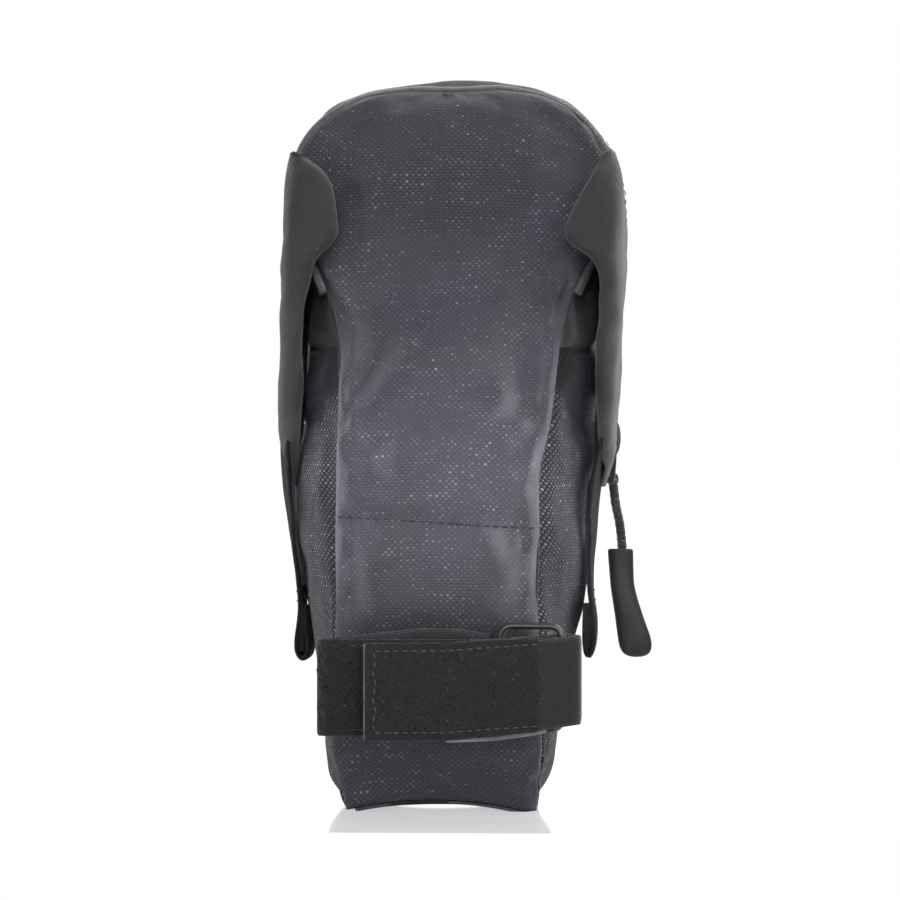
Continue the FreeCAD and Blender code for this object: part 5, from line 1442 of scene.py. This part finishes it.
flap_lift, flap_width, flap_y = flap_at(end_lift), flap_at(end_width), flap_at(end[:, 1])


def flap_nap():
    """A raised fuzzy face over the flap between its hem and the place where it turns plain."""
    x_hem, x_plain = -17.9, 25.2
    x = np.linspace(x_plain, x_hem, 150)[:, None]
    a = np.linspace(-1, 1, 64)
    edge = smooth(0, 0.05, 1 - abs(a)) * smooth(0, 1.2, x - x_hem) * smooth(0, 2.0, x_plain - x)
    h = 0.38 + edge * (0.16 + 0.12 * waves(x, a * 12.0, 0.0, 19, 3.4, 3)
                       + fibre_rng.uniform(-0.05, 0.05, edge.shape))
    verts = points(x, flap_y(x) - h, POST_Z + flap_lift(x) + a * (flap_width(x) / 2 - 0.25))
    fuzzy_face("post_flap_nap", verts, x, a * 12.0, "nap", "strap_end", "webbing", 0.4)


flap_nap()
# hook patch behind the free end, with its pale selvedge showing below
x = np.linspace(14.5, -16.6, 60)
strap("post_hook_tape", points(x, flap_y(x) + 1.0, POST_Z), UP, 22.4, 0.7, "hook", "strap_end",
      "hook_tape", ("post_hook",), shift=flap_lift(x))
x = np.linspace(27.0, 2.0, 60)
strap("post_hook_selvedge", points(x, flap_y(x) + 0.78, POST_Z), UP,
      1.5 * np.sin(np.linspace(0.5, 2.9, 60)) + 0.25, 0.35, "hook_edge", "strap_end",
      "hook_tape", shift=flap_lift(x) - flap_width(x) / 2 - 0.12)


def on_flap(x, dz):
    return points(x, flap_y(x) - 1.02, POST_Z + flap_lift(x) + dz)


# stitches along the top, the foot and the end of the flap
x = np.linspace(-16.2, 25.5, 60)
dz = np.linspace(-10, 10, 30)
rows = [on_flap(x, 10.2), on_flap(x, -10.2), on_flap(-15.9 + 0.3 * np.sin(dz), dz)]
stitches("post_strap_stitches", [(row, FORWARD) for row in rows], "thread_pale", "strap_end",
         "webbing", pitch=2.3, length=1.45, radius=0.2)
HEM_X, HEM_REF_X = -18.45, -18.2
dz = np.linspace(-12.1, 12.1, 30)
hem = points(HEM_X, flap_y(HEM_REF_X) - 0.28 + 0.05 * np.sin(dz * 1.7),
             POST_Z + flap_lift(HEM_REF_X) + dz)
tube("post_flap_hem", resample(hem, 60), 0.24, "hem", "strap_end", "webbing", sides=8)
rows = []
for dz in (10.5, -10.5):
    row = [[x, np.interp(x, post[60:, 0], post[60:, 1]) - 1.22, 32.4 + dz]
           for x in np.linspace(-26.5, -18.5, 12)]
    rows.append((row, FORWARD))
stitches("post_pile_stitches", rows, "thread_soft", "bag", "webbing", pitch=2.0, length=1.4,
         radius=0.16)


def strap_ring():
    """A closed wire loop with rounded corners, standing in a slanted plane."""
    left, right = np.array([15.4, -30.4]), np.array([31.0, -34.6])
    z_low, z_high, r = 22.0, 47.9, 3.1
    span = float(np.linalg.norm(right - left))
    path = []
    for along, z, start in ((span - r, z_high - r, 90), (span - r, z_low + r, 0),
                            (r, z_low + r, -90), (r, z_high - r, -180)):
        for q in range(9):
            a = math.radians(start - 90 * q / 8)
            place = left + (right - left) * ((along + r * math.cos(a)) / span)
            path.append([*place, z + r * math.sin(a)])
    path.append(path[0])
    tube("strap_ring_wire", resample(path, 160)[:-1], 0.86, "metal", "ring", "ring_metal",
         ("strap_ring",), sides=14, closed=True)


strap_ring()
# the tab that holds the ring: a doubled web round the ring's left bar, as (x, y)
RING_TAB = [(8.2, -28.6), (12.0, -28.55), (15.4, -28.75), (17.35, -30.0), (16.6, -31.8),
            (14.8, -32.2), (12.8, -31.4), (11.6, -30.2), (8.4, -29.75)]
strap("ring_tab_web", level_path(RING_TAB, 60, 34.6), UP, 19.0, 0.95, "web", "bag", "webbing",
      ("ring_tab",))


def lint():
    """Short bent hairs caught in the pile."""
    verts, faces = [], []
    r = 0.032
    for _ in range(46):
        x0 = RNG.uniform(-28, 30)
        z0 = 32 + RNG.uniform(-11, 11.5)
        y0 = -39.12 if x0 > -16.5 else -36.0
        a = RNG.uniform(0, 6.28)
        length = RNG.uniform(0.4, 1.5)
        bend = RNG.uniform(-0.9, 0.9)
        faces += grid_faces(4, 7, wrap=True, base=len(verts))
        for t in np.linspace(0, 1, 7):
            along, bow = length * (t - 0.5), 2 * bend * t * (1 - t)
            p = np.array([x0 + along * math.cos(a) - bow * math.sin(a),
                          y0 - 0.12 * math.sin(math.pi * t),
                          z0 + along * math.sin(a) + bow * math.cos(a)])
            for ang in angles(4):
                verts.append(p + r * np.array([math.cos(ang), math.sin(ang),
                                               math.sin(ang + 0.7)]))
    make("strap_lint", verts, faces, np.zeros((len(verts), 2)), "lint", "strap_end", "pile")


lint()

# ------------------------------------------------------------------ cord, knot and grip
CORD_X, CORD_Y = 43.503, ZIP_Y
KNOT_X, KNOT_Z = CORD_X - 1.4, 83.6
# the slider's bridge: a low wire hoop (x, z) with the cord's loop under it
HOOP = [(41.5, 89.9), (42.5, 90.3), (43.2, 91.8), (43.55, 94.2), (43.4, 96.6), (42.8, 98.3),
        (41.6, 99.0)]
tube("slider_hoop", catmull([(x, CORD_Y, z) for x, z in HOOP], 50), 0.55, "metal", "slider",
     "slider_metal", ("slider_bail",), sides=12, squeeze=1.45)
# one leg of the cord's loop, as x and y from the cord's place, and z
CORD_LEG = [(-1.35, 0.5, 84.0), (-1.15, 1.5, 86.2), (-1.0, 2.1, 88.6), (-0.95, 2.0, 91.0),
            (-0.95, 1.4, 92.8), (-0.85, 0.0, 93.4)]
for side, name, nodes in ((1, "cord_loop_a", ("pull_cord",)), (-1, "cord_loop_b", ())):
    leg = [(CORD_X + dx, CORD_Y + side * dy, z) for dx, dy, z in CORD_LEG]
    tube(name, catmull(leg, 40), 0.70, "cord", "pull", "cord", nodes, sides=12)
drop = [(KNOT_X, CORD_Y, KNOT_Z), (CORD_X - 0.95, CORD_Y, 80.6),
        (CORD_X - 0.45, CORD_Y + 0.1, 76.6), (CORD_X + 0.6, CORD_Y, 71.5),
        (44.75, CORD_Y, 65.3), (44.95, CORD_Y, 62.1)]
tube("cord_drop", catmull(drop, 60), 1.22 + 0.05 * np.sin(np.linspace(0, 70, 61)), "cord",
     "pull", "cord", sides=14)
# overhand knot: a short trefoil of cord
t = np.linspace(0, 2 * math.pi, 90, endpoint=False)
knot = points(KNOT_X + 0.60 * (np.sin(t) + 0.9 * np.sin(2 * t)),
              CORD_Y + 0.72 * (np.cos(t) - 0.95 * np.cos(2 * t)), KNOT_Z - 0.8 * np.sin(3 * t))
tube("cord_knot", knot, 0.74, "cord", "pull", "cord", closed=True)

# moulded grip: share of its length from the top, share of its full width, half depth
GRIP_TOP, GRIP_LOW = 65.0, 36.2
GRIP = np.array([
    (0.0, 0.80, 2.0), (0.004, 0.93, 2.35), (0.015, 0.985, 2.5), (0.05, 1, 2.5),
    (0.12, 1, 2.4), (0.2, 1, 2.3), (0.3, 1, 2.2), (0.4, 1, 2.18), (0.5, 1, 2.2),
    (0.58, 1, 2.25), (0.66, 1, 2.32), (0.74, 1, 2.4), (0.8, 1, 2.46), (0.86, 0.99, 2.48),
    (0.91, 0.95, 2.4), (0.945, 0.87, 2.2), (0.97, 0.74, 1.85), (0.988, 0.52, 1.3),
    (0.997, 0.28, 0.7), (1.0, 0.01, 0.02)])


def grip_edges(z):
    """x of the grip's left and right edges."""
    left = np.interp(-z, [-65, -55, -47, -40, -36], [40.9, 41.7, 42.9, 43.8, 44.3])
    right = pchip([36, 39.3, 42, 45, 48.6, 52.5, 56.6, 65],
                  [52.9, 52.7, 52.1, 51.0, 49.8, 48.6, 47.8, 47.6], z)
    return float(left), float(right)


def grip():
    sides = 40
    length = GRIP_TOP - GRIP_LOW
    shares = np.concatenate([np.linspace(a, b, 4)[:-1] for a, b in zip(GRIP[:, 0], GRIP[1:, 0])]
                            + [[1.0]])
    verts, uv = [], []
    for t in shares:
        z = GRIP_TOP - t * length
        left, right = grip_edges(z)
        half_x = (right - left) / 2 * np.interp(t, GRIP[:, 0], GRIP[:, 1])
        half_y = np.interp(t, GRIP[:, 0], GRIP[:, 2])
        for q, ang in enumerate(angles(sides)):
            c, s = math.cos(ang), math.sin(ang)
            x = half_x * math.copysign(abs(c) ** 0.8, c)
            if q in (0, sides // 2):
                x += math.copysign(0.07, c)  # a fine mould line down each edge
            y = half_y * math.copysign(abs(s) ** 0.8, s)
            verts.append(((left + right) / 2 + x, CORD_Y + y, z))
            uv.append((q * 0.7, t * length))
    faces = grid_faces(sides, len(shares), wrap=True)
    centre = len(verts)
    verts.append((sum(grip_edges(GRIP_TOP)) / 2, CORD_Y, GRIP_TOP))
    uv.append((0, 0))
    faces += [(q, centre, (q + 1) % sides) for q in range(sides)]
    faces.append(tuple(range(centre - sides, centre)))
    make("grip_moulding", verts, faces, uv, "rubber", "pull", "grip_rubber", ("pull_grip",))


grip()


# ------------------------------------------------------------------ things on the lid
def lid_point(x, z, lift):
    """A point on the lid's back face, and its normal."""
    j = int(np.searchsorted(ROWS, z, "right")) - 1
    t = (z - ROWS[j]) / (ROWS[j + 1] - ROWS[j])
    back = slice(N_FACE + FLANK - 8, 2 * N_FACE + FLANK + 9)
    pts = GRID[j, back] * (1 - t) + GRID[j + 1, back] * t
    normals = GRID_NORMALS[j, back] * (1 - t) + GRID_NORMALS[j + 1, back] * t
    n = unit(interp_rows(-x, -pts[:, 0], normals))
    return interp_rows(-x, -pts[:, 0], pts) + n * lift, n


# light loop: a web sewn flat at its ends and standing off between them, as (z, lift)
LIGHT_LOOP = [(119, 0.55), (121.5, 0.6), (124, 0.95), (127, 2.3), (131, 3.3), (136, 3.7),
              (141, 3.4), (145, 2.4), (148.5, 1.0), (151, 0.6), (153.5, 0.55)]
strap("light_loop_web", catmull([lid_point(0, z, lift)[0] for z, lift in LIGHT_LOOP], 70),
      (1, 0, 0), 22.0, 1.2, "web", "lid", "webbing", ("light_loop",), n_across=11)
rows = []
for z, lift in ((120.2, 1.2), (122.2, 1.28), (150.2, 1.28), (152.2, 1.2)):
    row = np.array([lid_point(x, z, 0.0)[0] for x in np.linspace(-9.6, 9.6, 16)])
    row[:, 1] = lid_point(0, z, lift)[0][1] + 0.02
    rows.append((row, BACKWARD))
stitches("light_loop_tacks", rows, "thread_soft", "lid", "webbing", pitch=1.6, length=1.25,
         radius=0.2)

# reflective strip: a film that follows the lid's curve, thinned at its border, with sewn edges
FILM_HALF_X, FILM_HALF_Z, FILM_Z = 27, 3.5, 161.9
film_x, film_z = np.linspace(-FILM_HALF_X, FILM_HALF_X, 55), np.linspace(158.4, 165.4, 9)
film, film_uv = [], []
for z in film_z:
    for x in film_x:
        rise = min(1.0, FILM_HALF_X - abs(x), (FILM_HALF_Z - abs(z - FILM_Z)) / 0.6)
        film.append(lid_point(x, z, 0.35 + 0.25 * max(0.0, rise))[0])
        film_uv.append((x, z))
o = make("reflective_film", film, grid_faces(len(film_x), len(film_z)), film_uv, "reflect",
         "lid", "reflective", ("reflective_strip",))
solidify(o, 0.35, offset=0.0, levels=0)
rows = []
for z in (159.1, 164.7):
    row = [lid_point(x, z, 0.78) for x in np.linspace(-26, 26, 40)]
    rows.append(tuple(np.array(part) for part in zip(*row)))
stitches("reflective_stitches", rows, "thread_soft", "lid", "reflective", pitch=2.6,
         length=1.8, radius=0.17)

# ------------------------------------------------------------------ boards inside
BOARD_THICK = 1.1


def rounded(half, low, high, r):
    """A rectangle with rounded corners, centred on x = 0."""
    out = []
    for cx, cy, start in ((half - r, high - r, 0), (-half + r, high - r, 90),
                          (-half + r, low + r, 180), (half - r, low + r, 270)):
        for k in range(7):
            a = math.radians(start + 15 * k)
            out.append((cx + r * math.cos(a), cy + r * math.sin(a)))
    return out


def board(name, outline, place, node, flip=False):
    """A thin board: place gives its two faces, for layer 0 and 1, from outline points."""
    n = len(outline)
    verts = [place(a, b, layer) for layer in (0, 1) for a, b in outline]
    first, second = tuple(range(n)), tuple(range(n, 2 * n))
    rim = [(i, (i + 1) % n, n + (i + 1) % n, n + i) for i in range(n)]
    if flip:
        faces = [first, second[::-1]] + [(a, d, c, b) for a, b, c, d in rim]
    else:
        faces = [first[::-1], second] + rim
    make(name, verts, faces, outline * 2, "board", "bag", "board", (node,), shade=False)


board("base_stiffener", rounded(17.5, -12.5, 11.5, 4.0),
      lambda x, y, layer: (x, y, 6.4 + BOARD_THICK * layer), "base_board")
# the back board leans with the back panel
board("back_stiffener", rounded(16.5, 12.0, 78.0, 5.0),
      lambda x, z, layer: (x, 19.5 + (z - 12) * 0.475 - BOARD_THICK * layer, z), "back_board",
      flip=True)

# ------------------------------------------------------------------ metal parts in CAD shape
for node in ("zip_slider", "zip_stop_left", "zip_stop_right"):
    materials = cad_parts[node].data.materials
    materials.clear()
    materials.append(M["metal"])

# ------------------------------------------------------------------ what each piece belongs to
for o, body, nodes, slot in parts:
    if body:
        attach(o, body)
    if nodes:
        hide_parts(*nodes)
for o, body, other, start, end in blends:
    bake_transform(o)


# ------------------------------------------------------------------ stage, light and camera
def floor_material():
    """A lit white table: bright in itself, with a glossy top that mirrors the bag faintly."""
    material, g, out = blank_material("floor_pale")
    glow = g.node("ShaderNodeEmission")
    gloss = g.node("ShaderNodeBsdfGlossy")
    matt = g.node("ShaderNodeBsdfDiffuse")
    camera_ray = g.node("ShaderNodeLightPath").outputs["Is Camera Ray"]
    # brighter to the camera than to the bag
    g.fill(glow, {"Strength": g.math("MULTIPLY_ADD", camera_ray, 0.23, 0.29),
                  "Color": (0.985, 0.995, 1.0, 1)})
    patches = g.noise(g.obj(), scale=3.0, detail=2.0)
    g.fill(gloss, {"Color": (0.48, 0.48, 0.48, 1),
                   "Roughness": g.ramp(patches, (0.3, 0.7), (0.05, 0.09))})
    g.fill(matt, {"Color": (0.10, 0.10, 0.10, 1)})
    shiny = g.fill(g.node("ShaderNodeAddShader"), {0: glow.outputs[0], 1: gloss.outputs[0]})
    total = g.fill(g.node("ShaderNodeAddShader"), {0: shiny, 1: matt.outputs[0]})
    g.put(out.inputs[0], total)
    return material


def stage_floor():
    material = floor_material()
    mesh = bpy.data.meshes.new("floor")
    half, front, back = 6, -0.079, 6
    mesh.from_pydata([(-half, front, 0), (half, front, 0), (half, back, 0), (-half, back, 0)],
                     [], [(0, 1, 2, 3)])
    mesh.materials.append(material)
    o = bpy.data.objects.new("floor", mesh)
    bpy.context.scene.collection.objects.link(o)


def studio_world():
    """White to the camera; as light, brighter from the back and from above."""
    world = bpy.data.worlds.new("studio")
    world.use_nodes = True
    g = Graph(world.node_tree)
    _, depth, up = g.split(g.node("ShaderNodeTexCoord").outputs["Generated"])
    camera_ray = g.node("ShaderNodeLightPath").outputs["Is Camera Ray"]
    back = g.ramp(depth, (-0.15, 0.75))
    top = g.ramp(up, (0.1, 1.0))
    room = back.scale_add(0.72, 0.30) + top * 0.25
    strength = g.math("MAXIMUM", g.math("MINIMUM", room, 1.0), camera_ray)
    g.fill(world.node_tree.nodes["Background"], {0: (1.0, 1.0, 1.0, 1), 1: strength})
    bpy.context.scene.world = world


def area(name, place, aim, size, power, color=(1, 1, 1)):
    """A rectangular lamp in metres and watts, turned to face its aim."""
    light = bpy.data.lights.new(name, "AREA")
    light.energy = power
    light.color = color
    light.shape = "RECTANGLE"
    light.size, light.size_y = size
    o = bpy.data.objects.new(name, light)
    bpy.context.scene.collection.objects.link(o)
    o.location = place
    o.rotation_euler = (Vector(aim) - Vector(place)).to_track_quat("-Z", "Y").to_euler()
    return light


stage_floor()
studio_world()
area("key_front", place=(0.06, -0.80, 0.68), aim=(0, 0, 0.085), size=(0.55, 0.35), power=2.75,
     color=(0.97, 0.96, 1.0))
fill = area("fill_middle", place=(0.03, -0.78, 0.26), aim=(0, -0.02, 0.090),
            size=(0.16, 0.03), power=0.041, color=(0.93, 0.92, 1.0))
fill.spread = math.radians(9.5)
area("strip_right", place=(0.52, -0.80, 0.16), aim=(0, 0, 0.09), size=(0.14, 0.6), power=2.4)
area("strip_left", place=(-0.54, -0.78, 0.14), aim=(0, 0, 0.09), size=(0.14, 0.6), power=2.1)
area("spark_right", place=(0.52, -0.42, 0.70), aim=(0.03, 0.01, 0.17), size=(0.10, 0.10),
     power=1.3)
area("rim_top", place=(0.35, 0.25, 0.85), aim=(0.0, 0.02, 0.17), size=(0.4, 0.4), power=4.0)


def add_camera():
    """A long lens at the front, turned a little to the right and hardly raised."""
    azimuth, elevation, distance = math.radians(2.94), math.radians(0.46), 1.25
    aim = Vector((0, 0, 0.094))
    lens = bpy.data.cameras.new("camera")
    o = bpy.data.objects.new("camera", lens)
    bpy.context.scene.collection.objects.link(o)
    forward = Vector((-math.sin(azimuth) * math.cos(elevation),
                      math.cos(azimuth) * math.cos(elevation), -math.sin(elevation)))
    o.location = aim - forward * distance
    o.rotation_euler = forward.to_track_quat("-Z", "Y").to_euler()
    lens.sensor_width = 36.0
    lens.lens = 194.196
    lens.shift_x = 0.00466667
    lens.shift_y = -0.01
    lens.clip_end = 50
    bpy.context.scene.camera = o


add_camera()
bpy.context.scene.view_settings.view_transform = "Standard"
bpy.context.scene.view_settings.look = "None"
